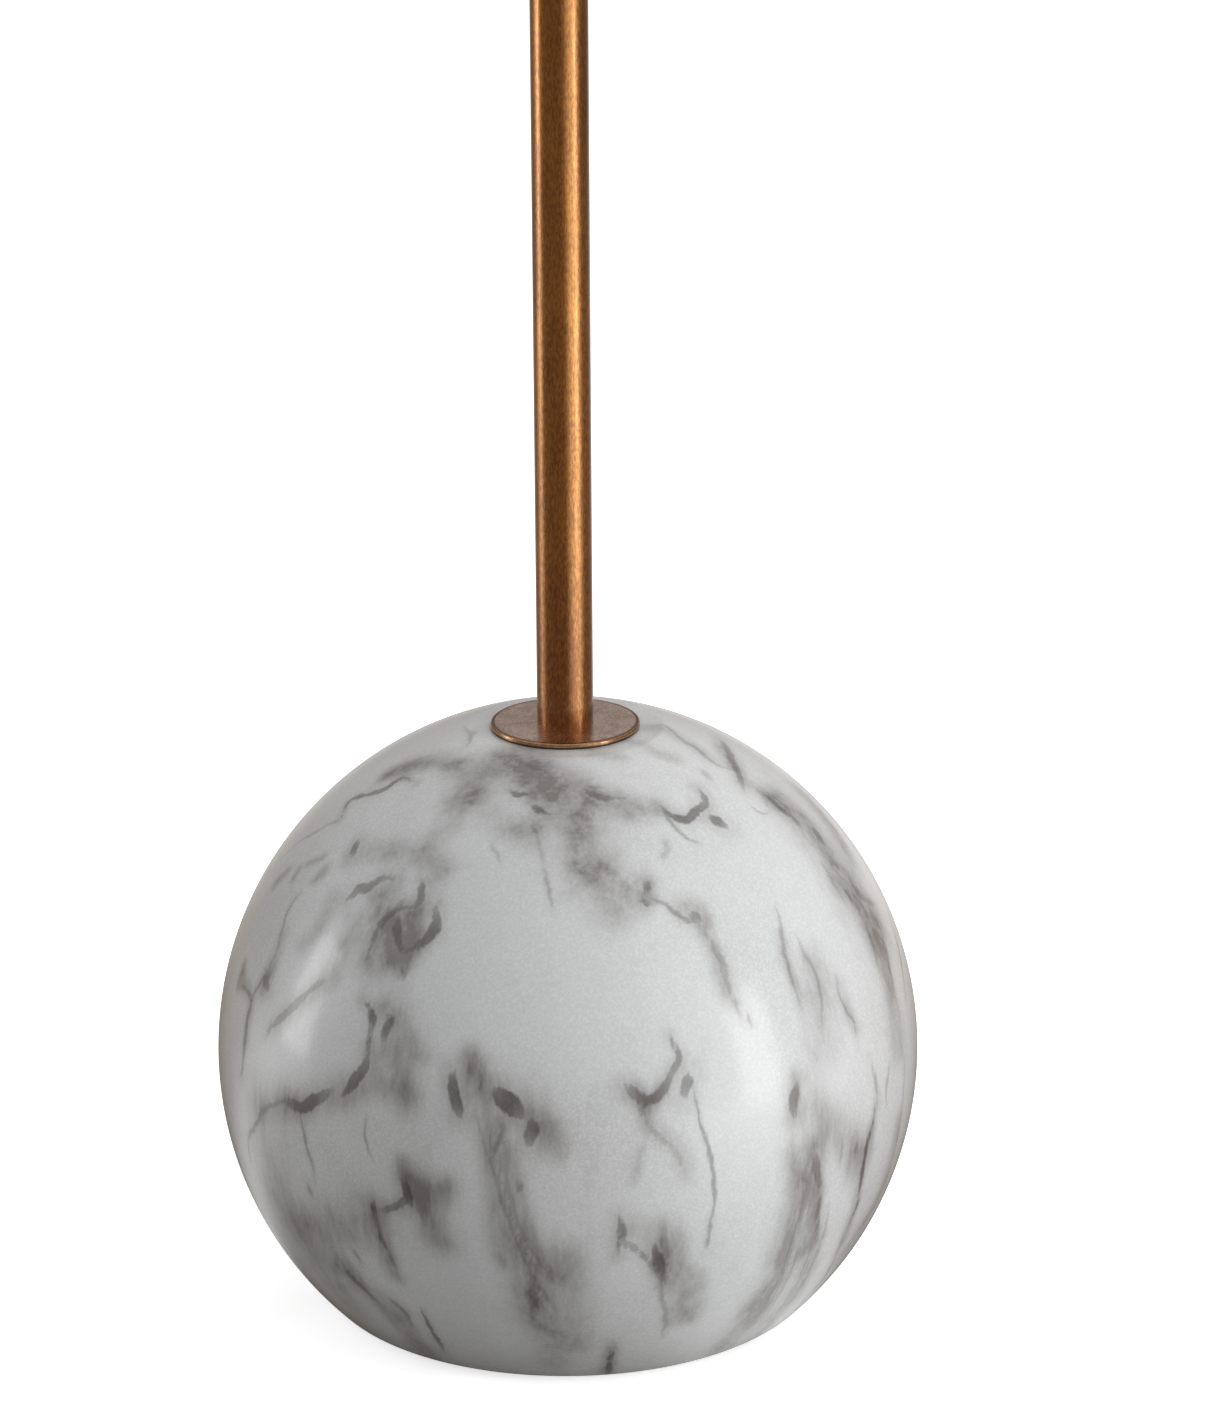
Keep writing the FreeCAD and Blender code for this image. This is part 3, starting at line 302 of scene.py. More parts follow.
def marble_material():
    """Print of grey veins on a cool white ground under gloss lacquer.

    The mesh carries, in millimetres, how far inside a bold stroke a point lies, and for
    thin strokes the offset from the nearest one's middle line and its half width. It also
    carries the strokes' darkness and the haze, which holds painted shade by the flange too.
    Noise finer than the mesh frays the strokes. Fine pale dots on the ground are painted glints.
    """
    material, tree, shader = new_tree("marble_print")
    cloud = texture(tree, 16, 5, 0.6)
    glint_specks = texture(tree, 1100, 3, 0.6)
    fray = texture(tree, 260, 4, 0.55, rise=0.5)
    fine = texture(tree, 800, 3, 0.6, rise=0.35)
    grain = texture(tree, 2400, 2, 0.6)
    blotch = texture(tree, 80, 3, 0.5, 0.3, rise=0.4)
    streak = texture(tree, 330, 3, 0.5, 0.2, rise=0.09)
    skin = texture(tree, 950, 2)
    side, half, thin_dark, near, bold, bold_dark, haze = (
        add(tree, "Attribute", attribute_name=name).outputs["Fac"] for name in PRINT_FIELDS
    )
    ground = mix(remap(cloud, 0.45, 0.8), MARBLE_GROUND, MARBLE_CLOUD)
    # painted highlight: fine pale dots stand in for glints on the lacquer
    ground = mix(remap(glint_specks, 0.42, 0.72, 0, 0.7), ground, MARBLE_GLINT)
    body = maths(
        "MULTIPLY",
        remap(blotch, 0.34, 0.66, 0.74, 1.2, smooth=True),
        haze,
        remap(streak, 0.3, 0.7, 0.82, 1.18),
        remap(fine, 0.3, 0.7, 0.88, 1.12),
    )
    mist = maths("MULTIPLY", remap(blotch, 0.5, 0.8), remap(streak, 0.4, 0.7, 0.04, 0.16))
    smoke = remap(maths("ADD", body, mist), 0.02, 0.95, 0, 0.9)
    colour = mix(smoke, ground, MARBLE_HAZE)
    wobble = maths("ADD", remap(fray, 0.2, 0.8, -0.8, 0.8), remap(fine, 0.2, 0.8, -0.4, 0.4))
    offset = maths("ABSOLUTE", maths("ADD", side, wobble), 0)
    thin = maths(
        "MULTIPLY",
        remap(maths("SUBTRACT", half, offset), -0.6, 0.5, smooth=True),
        remap(near, 0.6, 0.8),
        thin_dark,
    )
    bold = remap(maths("ADD", bold, wobble), -0.5, 0.55, smooth=True)
    ink = maths(
        "MULTIPLY",
        maths("MAXIMUM", thin, maths("MULTIPLY", bold, bold_dark)),
        remap(blotch, 0.34, 0.62, 0.75, 1),
        remap(grain, 0.3, 0.7, 0.84, 1),
    )
    feed(shader, {
        "Base Color": mix(ink, colour, MARBLE_INK),
        "Roughness": 0.4, "Coat Weight": 1, "Coat Roughness": 0.13,
    })
    surface = maths("ADD", skin, maths("MULTIPLY", grain, 0.5))
    feed(shader, {"Coat Normal": add_bump(shader, surface, 0.16, 0.06 * MM)})
    return material


def opal_material():
    """Opal glass: a milky body under a smooth surface."""
    material, tree, shader = new_tree("opal_glass")
    cloud = texture(tree, 9, 3)
    ripple = texture(tree, 30, 2)
    feed(shader, {
        "Base Color": mix(cloud, OPAL_TONE, OPAL_SHADE),
        "Roughness": remap(ripple, 0.3, 0.7, 0.2, 0.28),
        "Coat Weight": 0.6, "Coat Roughness": 0.08,
    })
    add_bump(shader, ripple, 0.05, 1 * MM)
    return material


# Meshes

SHARP_CORNER = math.radians(35)


def lathe(name, profile, segments):
    """A closed mesh turned about Z from a loop of (radius, height) points.

    A point on the axis becomes one vertex, and a side along the axis has no faces.
    """
    points = []
    rings = []
    angles = np.linspace(0, 2 * math.pi, segments, endpoint=False)
    for radius, height in profile:
        if radius == 0:
            rings.append([len(points)] * segments)
            points.append((0, 0, height))
            continue
        rings.append(range(len(points), len(points) + segments))
        points += [(radius * math.cos(a), radius * math.sin(a), height) for a in angles]
    pairs = list(zip(profile, profile[1:] + profile[:1]))
    area = sum(a[0] * b[1] - b[0] * a[1] for a, b in pairs)
    faces = []
    for index, (first, second) in enumerate(pairs):
        if first[0] == 0 and second[0] == 0:
            continue
        low, high = rings[index], rings[(index + 1) % len(rings)]
        for spot in range(segments):
            after = (spot + 1) % segments
            corners = [low[spot], low[after], high[after], high[spot]]
            if area < 0:
                corners.reverse()
            faces.append(list(dict.fromkeys(corners)))
    mesh = bpy.data.meshes.new(name)
    mesh.from_pydata(points, [], faces)
    mesh.validate()
    mesh.shade_smooth()
    mesh.set_sharp_from_angle(angle=SHARP_CORNER)
    return new_object(name, mesh)


def arc(centre, radius, start, end, count):
    """Points of an arc about a (radius, height) centre; angle 0 points up."""
    angles = np.linspace(start, end, count)
    return [(centre[0] + radius * math.sin(a), centre[1] + radius * math.cos(a)) for a in angles]


def steps(start, stop, pitch):
    """Evenly spaced values from start to stop, about a pitch apart."""
    return list(np.linspace(start, stop, max(2, round(abs(stop - start) / pitch) + 1)))


def press(piece, depth):
    """Moves each point of a turned piece inwards by what depth says at (angle, z, radius)."""
    for vertex in piece.data.vertices:
        x, y, z = vertex.co
        radius = math.hypot(x, y)
        if radius:
            share = 1 - depth(math.atan2(y, x), z, radius) / radius
            vertex.co = (x * share, y * share, z)


def dress(piece, material, body, replaced):
    """Gives a piece its finish, its body and the node that it stands for."""
    piece.data.materials.append(material)
    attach(piece, body)
    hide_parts(replaced)


# Marbled print: each named stroke was laid over the photograph. It has its half width in
# # millimetres, its darkness and the pixels of the photograph that its middle line runs through.

VEINS = {
    "shoulder": (1.2, 0.8, (341, 819), (346, 805), (353, 799), (368, 795), (384, 789), (393, 783),
        (404, 779), (417, 783)),
    "shoulder_end": (0.5, 0.35, (341, 820), (328, 824), (312, 834), (297, 844), (281, 859)),
    "left_stroke": (1.6, 0.75, (357, 841), (354, 850), (350, 859)),
    "loop_roof": (1.7, 0.8, (346, 902), (353, 895), (360, 888), (367, 889), (374, 882), (381, 877),
        (396, 878)),
    "loop_hook": (1.4, 0.85, (421, 879), (423, 891), (421, 901), (414, 909)),
    "loop_left": (1.7, 0.85, (399, 918), (396, 930), (399, 944), (404, 956)),
    "loop_arch": (1.2, 0.7, (367, 962), (373, 940), (383, 922), (398, 910), (414, 908)),
    "loop_right": (1.9, 0.85, (435, 908), (436, 920), (432, 933), (420, 944), (404, 954)),
    "loop_tail": (1.2, 0.45, (402, 963), (403, 975), (405, 986)),
    "left_arc": (0.6, 0.4, (300, 893), (289, 908), (283, 925), (279, 942), (271, 962), (263, 980)),
    "left_arc_end": (1.8, 0.7, (272, 968), (266, 980), (269, 991)),
    "fork": (1.3, 0.75, (240, 984), (247, 991), (251, 1003), (247, 1020), (245, 1040), (243, 1060),
        (241, 1076)),
    "fork_branch": (0.8, 0.45, (251, 1004), (257, 989), (263, 978), (272, 966)),
    "long_arc": (1.4, 0.7, (331, 978), (320, 984), (309, 993), (296, 1004), (285, 1013), (276, 1022),
        (266, 1036)),
    "sweep_upper": (1.2, 0.85, (361, 999), (369, 1006), (373, 1018), (371, 1034), (370, 1048), (367, 1062)),
    "sweep_lower": (2.1, 0.9, (369, 1056), (364, 1068), (356, 1077), (348, 1087), (341, 1099)),
    "brown_streak": (1.7, 0.7, (386, 1014), (390, 1022), (386, 1033), (385, 1043)),
    "lower_left_band": (2.4, 0.9, (331, 1088), (323, 1095), (313, 1101), (303, 1107), (294, 1106),
        (284, 1101)),
    "lower_left_thin": (0.9, 0.6, (300, 1107), (284, 1102), (270, 1105), (261, 1113), (258, 1123),
        (252, 1131), (248, 1142), (251, 1160)),
    "left_thread": (0.7, 0.5, (299, 1112), (303, 1130), (307, 1150), (313, 1165), (315, 1181)),
    "left_thread_foot": (1.2, 0.6, (308, 1184), (310, 1192), (312, 1197)),
    "faint_thread": (0.6, 0.4, (366, 1118), (365, 1135), (368, 1150), (372, 1160)),
    "lens": (2.1, 1.0, (454, 1071), (453, 1083), (455, 1097), (458, 1108), (462, 1119)),
    "blob": (3.4, 1.0, (494, 1089), (501, 1096), (508, 1103), (515, 1110), (522, 1119)),
    "wedge": (2.6, 0.85, (529, 1119), (531, 1131), (529, 1146)),
    "band_thin_left": (0.6, 0.4, (474, 1112), (487, 1150), (499, 1190), (510, 1226), (525, 1262),
        (541, 1300)),
    "band_thin_right": (0.7, 0.4, (510, 1144), (506, 1178), (513, 1214), (527, 1242), (543, 1268)),
    "band_thin_low": (0.6, 0.35, (520, 1240), (530, 1270), (549, 1300), (560, 1316)),
    "band_head": (1.0, 0.5, (503, 1121), (502, 1133), (497, 1145), (496, 1152)),
    "thistle_core": (1.7, 0.9, (403, 1176), (405, 1187), (409, 1197), (413, 1207)),
    "thistle_arm": (1.3, 0.7, (380, 1211), (391, 1208), (401, 1202), (408, 1195)),
    "slash_upper": (1.2, 0.9, (372, 1196), (373, 1205), (375, 1214)),
    "slash_lower": (1.1, 0.8, (376, 1214), (379, 1228), (382, 1242), (390, 1258)),
    "slash_end": (0.7, 0.35, (384, 1241), (391, 1260), (402, 1282)),
    "slash_small": (0.8, 0.4, (352, 1249), (357, 1257), (362, 1265)),
    "foot_slash": (1.5, 0.6, (341, 1261), (350, 1275), (362, 1287), (378, 1302)),
    "foot_slash_right": (1.3, 0.55, (384, 1294), (396, 1304), (407, 1315), (413, 1328)),
    "foot_thin": (0.9, 0.8, (423, 1311), (429, 1324), (436, 1338), (443, 1351)),
    "band_speck": (1.2, 0.6, (515, 1179), (518, 1186), (516, 1193)),
    "low_speck": (1.0, 0.6, (529, 1286), (532, 1298), (536, 1308)),
    "blotch_core": (1.1, 0.75, (508, 790), (516, 795), (524, 794), (531, 796)),
    "blotch_drop": (1.2, 0.85, (532, 803), (537, 809), (546, 814), (556, 817)),
    "blotch_upper": (0.9, 0.45, (519, 761), (530, 766), (544, 772)),
    "middle_hair": (0.7, 0.35, (544, 866), (548, 884), (551, 898), (554, 908)),
    "middle_hair_upper": (0.6, 0.3, (533, 826), (538, 840), (543, 858)),
    "left_hair": (0.6, 0.3, (492, 844), (497, 853), (501, 864)),
    "crown_mark": (1.0, 0.4, (465, 727), (470, 735), (467, 745)),
    "crown_arc": (0.9, 0.4, (640, 718), (665, 726), (681, 738), (697, 748), (707, 758), (720, 766),
        (734, 770)),
    "crown_drop": (1.6, 0.65, (719, 739), (728, 751), (734, 764), (741, 776), (745, 792)),
    "brow": (1.5, 0.6, (584, 789), (594, 795), (606, 797), (627, 799)),
    "zigzag": (1.6, 0.9, (658, 806), (666, 812), (676, 818), (687, 819), (697, 811), (706, 805), (704, 796),
        (699, 789)),
    "zigzag_tail": (0.6, 0.5, (662, 812), (671, 823), (684, 836), (698, 843)),
    "zigzag_wedge": (2.1, 0.85, (710, 815), (718, 821), (729, 829)),
    "band_hair": (0.5, 0.4, (751, 806), (758, 811), (769, 813)),
    "pair_upper": (1.6, 0.75, (646, 882), (647, 889), (645, 894)),
    "pair_lower": (1.2, 0.6, (640, 901), (647, 903), (652, 900)),
    "drift": (0.9, 0.55, (652, 899), (664, 903), (673, 910), (683, 918), (694, 921), (701, 920)),
    "drift_core": (1.9, 0.65, (688, 913), (695, 917), (699, 921)),
    "drift_fall": (1.3, 0.4, (698, 921), (706, 935), (714, 949), (722, 962), (726, 978), (733, 997),
        (741, 1018)),
    "right_band": (1.5, 0.75, (764, 794), (772, 800), (780, 808), (792, 817), (803, 829)),
    "right_band_core": (2.0, 0.7, (812, 826), (819, 837), (825, 846)),
    "right_band_edge": (0.9, 0.35, (819, 861), (829, 874), (837, 888), (846, 904)),
    "rim_patch": (1.6, 0.42, (848, 882), (857, 892), (866, 899), (875, 904)),
    "rim_line_inner": (0.8, 0.4, (877, 921), (884, 943), (889, 966), (894, 990), (899, 1018)),
    "rim_line_outer": (0.8, 0.45, (888, 912), (896, 938), (902, 968), (906, 1002)),
    "rim_line_short": (0.6, 0.35, (866, 925), (874, 950), (881, 978)),
    "rim_line_low": (0.6, 0.45, (905, 1058), (903, 1096), (898, 1135), (890, 1168), (880, 1195),
        (866, 1221)),
    "right_hair": (0.7, 0.4, (775, 906), (779, 922), (782, 942), (787, 962), (794, 985), (801, 1006)),
    "right_hair_low": (0.6, 0.4, (835, 977), (840, 998), (846, 1012), (853, 1020), (856, 1030)),
    "right_hair_wide": (0.8, 0.35, (796, 936), (803, 953), (816, 974), (822, 1000), (823, 1040)),
    "right_mark": (0.9, 0.4, (843, 1139), (843, 1150), (841, 1161)),
    "right_mark_outer": (0.8, 0.35, (857, 1141), (855, 1155)),
    "long_right_top": (1.3, 0.45, (870, 1058), (875, 1078), (878, 1100)),
    "fleck": (0.7, 0.35, (747, 1013), (749, 1020), (752, 1027)),
    "tick": (1.8, 0.8, (624, 1085), (634, 1095), (647, 1101), (658, 1095), (666, 1083), (673, 1069)),
    "tick_top": (1.15, 0.7, (664, 1087), (672, 1071), (677, 1058), (673, 1045), (669, 1035)),
    "tick_foot": (1.1, 0.5, (640, 1102), (640, 1110), (643, 1118)),
    "tick_wedge": (2.3, 0.8, (688, 1072), (687, 1083), (684, 1097)),
    "tick_tail": (1.2, 0.3, (643, 1119), (655, 1133), (667, 1144), (677, 1158), (685, 1178)),
    "thread": (0.55, 0.7, (693, 1087), (698, 1107), (702, 1127), (707, 1148), (713, 1172), (716, 1192),
        (714, 1210), (710, 1226)),
    "thread_end": (1.1, 0.65, (711, 1221), (709, 1236), (706, 1251)),
    "hook_head": (1.5, 0.8, (620, 1214), (621, 1225), (620, 1240), (618, 1256)),
    "hook_arm": (1.2, 0.55, (621, 1238), (630, 1246), (641, 1255), (652, 1266), (660, 1282)),
    "hook_core": (1.9, 0.95, (653, 1243), (657, 1255), (661, 1268), (664, 1283)),
    "hook_fall": (0.8, 0.4, (661, 1274), (662, 1292), (665, 1316), (662, 1338)),
    "right_lens": (2.1, 0.8, (797, 1082), (794, 1093), (794, 1106), (796, 1118)),
    "right_streak": (1.7, 0.8, (817, 1149), (817, 1163), (817, 1178), (820, 1190)),
    "right_streak_low": (1.3, 0.8, (819, 1188), (819, 1205), (817, 1224), (816, 1242)),
    "sweep_thin_inner": (0.6, 0.5, (806, 1185), (799, 1218), (788, 1252), (773, 1290), (756, 1322)),
    "sweep_thin_middle": (0.6, 0.45, (815, 1232), (806, 1262), (790, 1294), (768, 1324)),
    "sweep_thin_outer": (0.7, 0.45, (828, 1208), (820, 1244), (806, 1276), (788, 1306)),
    "sweep_line": (0.7, 0.4, (801, 1240), (794, 1262), (783, 1288), (767, 1316)),
    "sweep_line_left": (0.7, 0.35, (803, 1176), (809, 1184)),
    "long_right": (1.1, 0.95, (877, 1099), (875, 1113), (871, 1131), (866, 1148), (863, 1166), (861, 1186),
        (857, 1205), (850, 1223), (843, 1241)),
    "long_right_end": (0.8, 0.5, (843, 1240), (834, 1260), (824, 1277), (811, 1292), (798, 1306)),
    "right_faint": (0.6, 0.4, (890, 1062), (887, 1082), (886, 1106)),
    "foot_streak": (1.2, 0.85, (613, 1343), (611, 1355), (609, 1367), (606, 1378)),
}

# Soft dark clouds of the print, laid the same way, each with its radius in millimetres first;
# # the flange_shade entries are not print but painted shade on the ball by the flange's edge

SMUDGES = {
    "shoulder": (5, 0.8, (388, 774), (412, 766), (440, 762), (462, 764)),
    "crown_left_field": (9, 0.42, (468, 784), (487, 772), (508, 764)),
    "crown_left": (6.5, 0.7, (505, 756), (490, 770), (478, 782), (470, 796)),
    "crown_left_fall": (5, 0.3, (462, 800), (450, 822), (436, 838)),
    "under_flange_field": (8, 0.35, (525, 762), (548, 780), (572, 795)),
    "under_flange": (6, 0.6, (512, 762), (530, 780), (556, 795), (570, 798)),
    "under_flange_right": (5, 0.4, (522, 752), (545, 768), (562, 786)),
    "under_flange_low": (4, 0.35, (508, 832), (528, 833), (540, 822)),
    "centre_field": (11, 0.4, (572, 806), (588, 850), (608, 895)),
    "centre_field_left": (6, 0.3, (492, 815), (512, 825), (530, 838)),
    "centre": (8, 0.5, (568, 812), (580, 838), (592, 862)),
    "centre_low": (6, 0.55, (596, 868), (608, 890), (618, 912)),
    "stroke": (5, 0.45, (352, 855), (375, 852), (405, 850), (430, 858), (440, 872)),
    "loop": (7, 0.6, (385, 895), (395, 920), (402, 945)),
    "loop_left": (6, 0.45, (375, 915), (368, 940), (372, 965)),
    "loop_fill": (5, 0.76, (418, 910), (411, 924), (413, 940), (406, 955)),
    "loop_gap": (4, 0.38, (388, 932), (392, 950), (390, 965)),
    "loop_foot": (3, 0.5, (404, 950), (402, 968)),
    "left_bars": (5, 0.4, (352, 925), (345, 950), (335, 968)),
    "left_bars_outer": (4, 0.35, (335, 895), (322, 920), (305, 945)),
    "left_marks": (2.4, 0.65, (325, 870), (316, 879)),
    "left_marks_low": (1.8, 0.45, (300, 868), (293, 880)),
    "left_rim_marks": (2.4, 0.6, (243, 968), (239, 985)),
    "left_marks_upper": (1.8, 0.5, (322, 858), (310, 863)),
    "rim_marks": (2.4, 0.5, (288, 872), (276, 884)),
    "left_arc": (3.5, 0.35, (282, 935), (272, 965), (262, 990)),
    "fork": (3, 0.35, (242, 975), (250, 1000), (246, 1040)),
    "long_arc": (4, 0.4, (325, 985), (300, 1003), (275, 1025)),
    "sweep": (7, 0.45, (392, 1010), (396, 1032), (392, 1050)),
    "sweep_cloud_right": (4, 0.35, (398, 1025), (408, 1040), (420, 1055)),
    "sweep_low": (6, 0.35, (392, 1062), (400, 1080), (404, 1098)),
    "stroke_shade": (5, 0.42, (362, 1088), (385, 1086), (407, 1091)),
    "band": (5, 0.45, (345, 1090), (320, 1100), (290, 1104), (262, 1112)),
    "lower_left_field": (11, 0.35, (262, 1110), (268, 1150), (275, 1190)),
    "lens": (4, 0.35, (457, 1085), (460, 1110)),
    "blob": (5, 0.4, (478, 1070), (492, 1088), (515, 1110), (545, 1128)),
    "wedge": (5, 0.45, (540, 1125), (550, 1135), (556, 1148)),
    "streaks_left": (3, 0.3, (470, 1050), (478, 1078), (488, 1095)),
    "centre_band": (4.5, 0.55, (498, 1125), (500, 1160), (505, 1195), (512, 1230), (520, 1258)),
    "centre_band_right": (3.5, 0.55, (511, 1150), (516, 1185), (525, 1220), (534, 1248), (549, 1276)),
    "centre_band_low": (7, 0.5, (508, 1235), (522, 1262), (535, 1290), (545, 1320)),
    "centre_band_left": (4, 0.42, (471, 1060), (480, 1100), (486, 1150), (493, 1205), (504, 1262)),
    "thistle": (6, 0.6, (410, 1180), (422, 1195), (430, 1215), (436, 1240)),
    "thistle_fan": (4.5, 0.4, (428, 1192), (446, 1187)),
    "thistle_top": (2.5, 0.4, (403, 1160), (405, 1176)),
    "thistle_left": (4, 0.4, (380, 1205), (395, 1205)),
    "thistle_dot": (3.5, 0.35, (448, 1188), (446, 1202)),
    "mauve_field": (10, 0.5, (290, 1222), (320, 1225), (350, 1222), (368, 1215)),
    "mauve_field_low": (10, 0.45, (318, 1240), (325, 1270), (345, 1295)),
    "slash": (4, 0.4, (378, 1210), (382, 1245), (395, 1275)),
    "foot": (6, 0.5, (345, 1268), (368, 1292), (392, 1312)),
    "foot_right": (6, 0.5, (400, 1318), (415, 1338), (428, 1356)),
    "bottom_centre": (8, 0.48, (562, 1262), (570, 1300), (575, 1340)),
    "bottom_centre_left": (8, 0.45, (535, 1290), (545, 1325), (552, 1360)),
    "crown_arc": (4, 0.3, (645, 722), (680, 738), (708, 757)),
    "crown_drop": (4, 0.4, (722, 748), (736, 768), (743, 782)),
    # painted shade: the flange's shadow on the ball, just by its edge
    "flange_shade_left": (4, 0.3, (645, 746), (662, 754), (674, 758)),
    "flange_shade": (3, 0.3, (595, 753), (622, 756)),
    "dash": (1.6, 0.4, (702, 771), (709, 778)),
    "brow": (6, 0.45, (578, 783), (600, 795), (628, 808)),
    "brow_right": (5, 0.3, (625, 805), (645, 812), (660, 808)),
    "spot_upper": (1.5, 0.5, (665, 843), (666, 847)),
    "spot_lower": (1.3, 0.45, (661, 857), (663, 853)),
    "pair": (2.6, 0.3, (648, 880), (646, 892), (644, 903)),
    "drift": (4, 0.4, (685, 905), (697, 912), (705, 922)),
    "drift_low": (3.5, 0.4, (705, 935), (716, 955), (722, 975), (732, 1000)),
    "right_band_field": (11, 0.42, (788, 812), (822, 848), (848, 888), (872, 930)),
    "right_band": (6.5, 0.7, (778, 800), (800, 818), (818, 838), (832, 858)),
    "right_band_outer": (6.5, 0.6, (805, 795), (828, 822), (850, 858)),
    "rim_patch": (8, 0.62, (845, 885), (862, 905), (878, 930)),
    "rim": (6.5, 0.5, (872, 930), (884, 965), (893, 1005), (898, 1045)),
    "right_hair": (3, 0.3, (780, 935), (788, 965), (800, 1000)),
    "right_field": (8, 0.35, (815, 965), (820, 1005), (822, 1050)),
    "right_field_hair": (3, 0.25, (840, 985), (848, 1010), (858, 1028)),
    "tick": (3.5, 0.4, (632, 1093), (648, 1105), (660, 1095)),
    "tick_tail": (4, 0.35, (650, 1125), (672, 1145), (684, 1170)),
    "tail_blur": (2, 0.3, (640, 1150), (637, 1165), (634, 1181)),
    "hook": (5, 0.38, (632, 1228), (660, 1228), (672, 1250)),
    "hook_low": (6, 0.55, (668, 1245), (676, 1272), (682, 1298), (678, 1315)),
    "hook_edge": (4, 0.35, (688, 1275), (695, 1300), (692, 1318)),
    "small_blur": (2.2, 0.35, (703, 1272), (703, 1288)),
    "right_lens": (3.5, 0.35, (796, 1080), (795, 1115)),
    "right_streak": (4, 0.6, (812, 1145), (815, 1190), (812, 1240)),
    "right_light_field": (8, 0.5, (815, 1110), (840, 1135), (860, 1158)),
    "sweep_right_field": (10, 0.42, (808, 1158), (802, 1210), (786, 1260), (760, 1310), (735, 1345)),
    "sweep_right": (6, 0.6, (800, 1155), (795, 1200), (788, 1240), (776, 1275), (760, 1305)),
    "sweep_right_low": (6, 0.72, (757, 1305), (742, 1328), (725, 1346)),
    "sweep_outer": (6, 0.72, (812, 1245), (805, 1275), (790, 1300), (770, 1322), (750, 1342)),
    "sweep_specks": (2.4, 0.4, (790, 1238), (788, 1252)),
    "long_right": (3, 0.35, (870, 1130), (862, 1170), (852, 1215), (838, 1250)),
    "rim_low": (4, 0.35, (898, 1120), (885, 1180), (862, 1225), (835, 1262)),
    "foot_streak": (3, 0.35, (611, 1350), (607, 1372)),
}

STEPS_BETWEEN = 5
STROKE_SWELL = 0.6
THIN_END_WIDTH = 0.25
THIN_END_DARKNESS = 0.4
BOLD_HALF = 1.1
INK_REACH = 8
HALO_SPREAD = 2.4
HALO_SHARE = 0.32
HAZE_REACH = 2.4
# The waver of the strokes: wave size, swing in millimetres and start
WAVERS = ((15 * MM, 0.9, Vector((0, 0, 0))), (5 * MM, 0.4, Vector((7, 3, 5))))
WAVER_SEED = 1


def turning(about_z, about_y):
    """A turn about the Y axis and then about the Z axis, in degrees."""
    first = Matrix.Rotation(math.radians(about_y), 3, "Y")
    return Matrix.Rotation(math.radians(about_z), 3, "Z") @ first


# Turns that lay the strokes again where the photograph does not show the ball, each with the
# farthest Y that they may reach
SIDE_LIMIT = 66 * MM
PRINT_TURNS = (
    (turning(191, -7), BALL_RADIUS), (turning(113, 9), SIDE_LIMIT), (turning(-109, 6), SIDE_LIMIT)
)
HIDDEN_MARGIN = 6 * MM


def on_ball(x, y):
    """The point of the ball, about its centre, that shows at a pixel of the photograph."""
    ray = Vector((x - PHOTO_WIDTH / 2, PHOTO_HEIGHT / 2 - y, -FOCAL_PIXELS))
    ray = (camera_turn() @ ray).normalized()
    back = CAMERA_PLACE - BALL_MIDDLE
    along = back.dot(ray)
    depth = along**2 - back.length_squared + BALL_RADIUS**2
    return back + ray * (-along - math.sqrt(max(depth, 0)))


def flowing(points):
    """A smooth path on the ball through points about its centre."""
    ends = [points[0] * 2 - points[1]] + list(points) + [points[-1] * 2 - points[-2]]
    path = []
    for first, start, stop, last in zip(ends, ends[1:], ends[2:], ends[3:]):
        for step in range(STEPS_BETWEEN):
            t = step / STEPS_BETWEEN
            spot = start * 2 + (stop - first) * t
            spot += (first * 2 - start * 5 + stop * 4 - last) * t**2
            spot += (start * 3 - first - stop * 3 + last) * t**3
            path.append(spot.normalized() * BALL_RADIUS)
    path.append(points[-1].normalized() * BALL_RADIUS)
    return np.array(path)


def hidden(points):
    """Whether the photograph's camera sees none of these points of the ball."""
    eye = CAMERA_PLACE - BALL_MIDDLE
    return all((eye - spot).dot(spot) < -HIDDEN_MARGIN * spot.length for spot in points)


def strokes(table):
    """Every stroke of a table, on the photographed side and turned: path, width and darkness."""
    laid = []
    for width, dark, *pixels in table.values():
        points = [on_ball(*pixel) for pixel in pixels]
        laid.append((flowing(points), width, dark))
        for turn, limit in PRINT_TURNS:
            turned = [turn @ spot for spot in points]
            if hidden(turned) and max(spot.y for spot in turned) < limit:
                laid.append((flowing(turned), width, dark))
    return laid


def around(path, places, reach):
    """Which places lie within reach, in millimetres, of the ball that holds a path."""
    middle = path.mean(axis=0)
    spread = np.linalg.norm(path - middle, axis=1).max() + reach * MM
    return np.nonzero(np.linalg.norm(places - middle, axis=1) < spread)[0]


def follow(path, places):
    """How far places lie from a path in millimetres, on which side, and how far along it."""
    count = len(path) - 1
    best = np.full(len(places), np.inf)
    side = np.ones(len(places))
    along = np.zeros(len(places))
    for index in range(count):
        start = path[index]
        step = path[index + 1] - start
        share = np.clip((places - start) @ step / (step @ step), 0, 1)
        gap = places - start - share[:, None] * step
        size = np.linalg.norm(gap, axis=1)
        nearer = size < best
        best[nearer] = size[nearer]
        side[nearer] = np.sign(gap[nearer] @ np.cross(start, step) + 1e-12)
        along[nearer] = (index + share[nearer]) / count
    return best / MM, side, along


def wavered_places(mesh):
    """The mesh's points about the ball's centre, each moved a little by the waver."""
    flat = np.empty(len(mesh.vertices) * 3)
    mesh.vertices.foreach_get("co", flat)
    places = flat.reshape(-1, 3) - np.array(BALL_MIDDLE)
    waver = np.zeros_like(places)
    noise.seed_set(WAVER_SEED)
    for index, place in enumerate(places):
        for size, swing, start in WAVERS:
            waver[index] += noise.noise_vector(Vector(place) / size + start) * swing
    return places + waver * MM


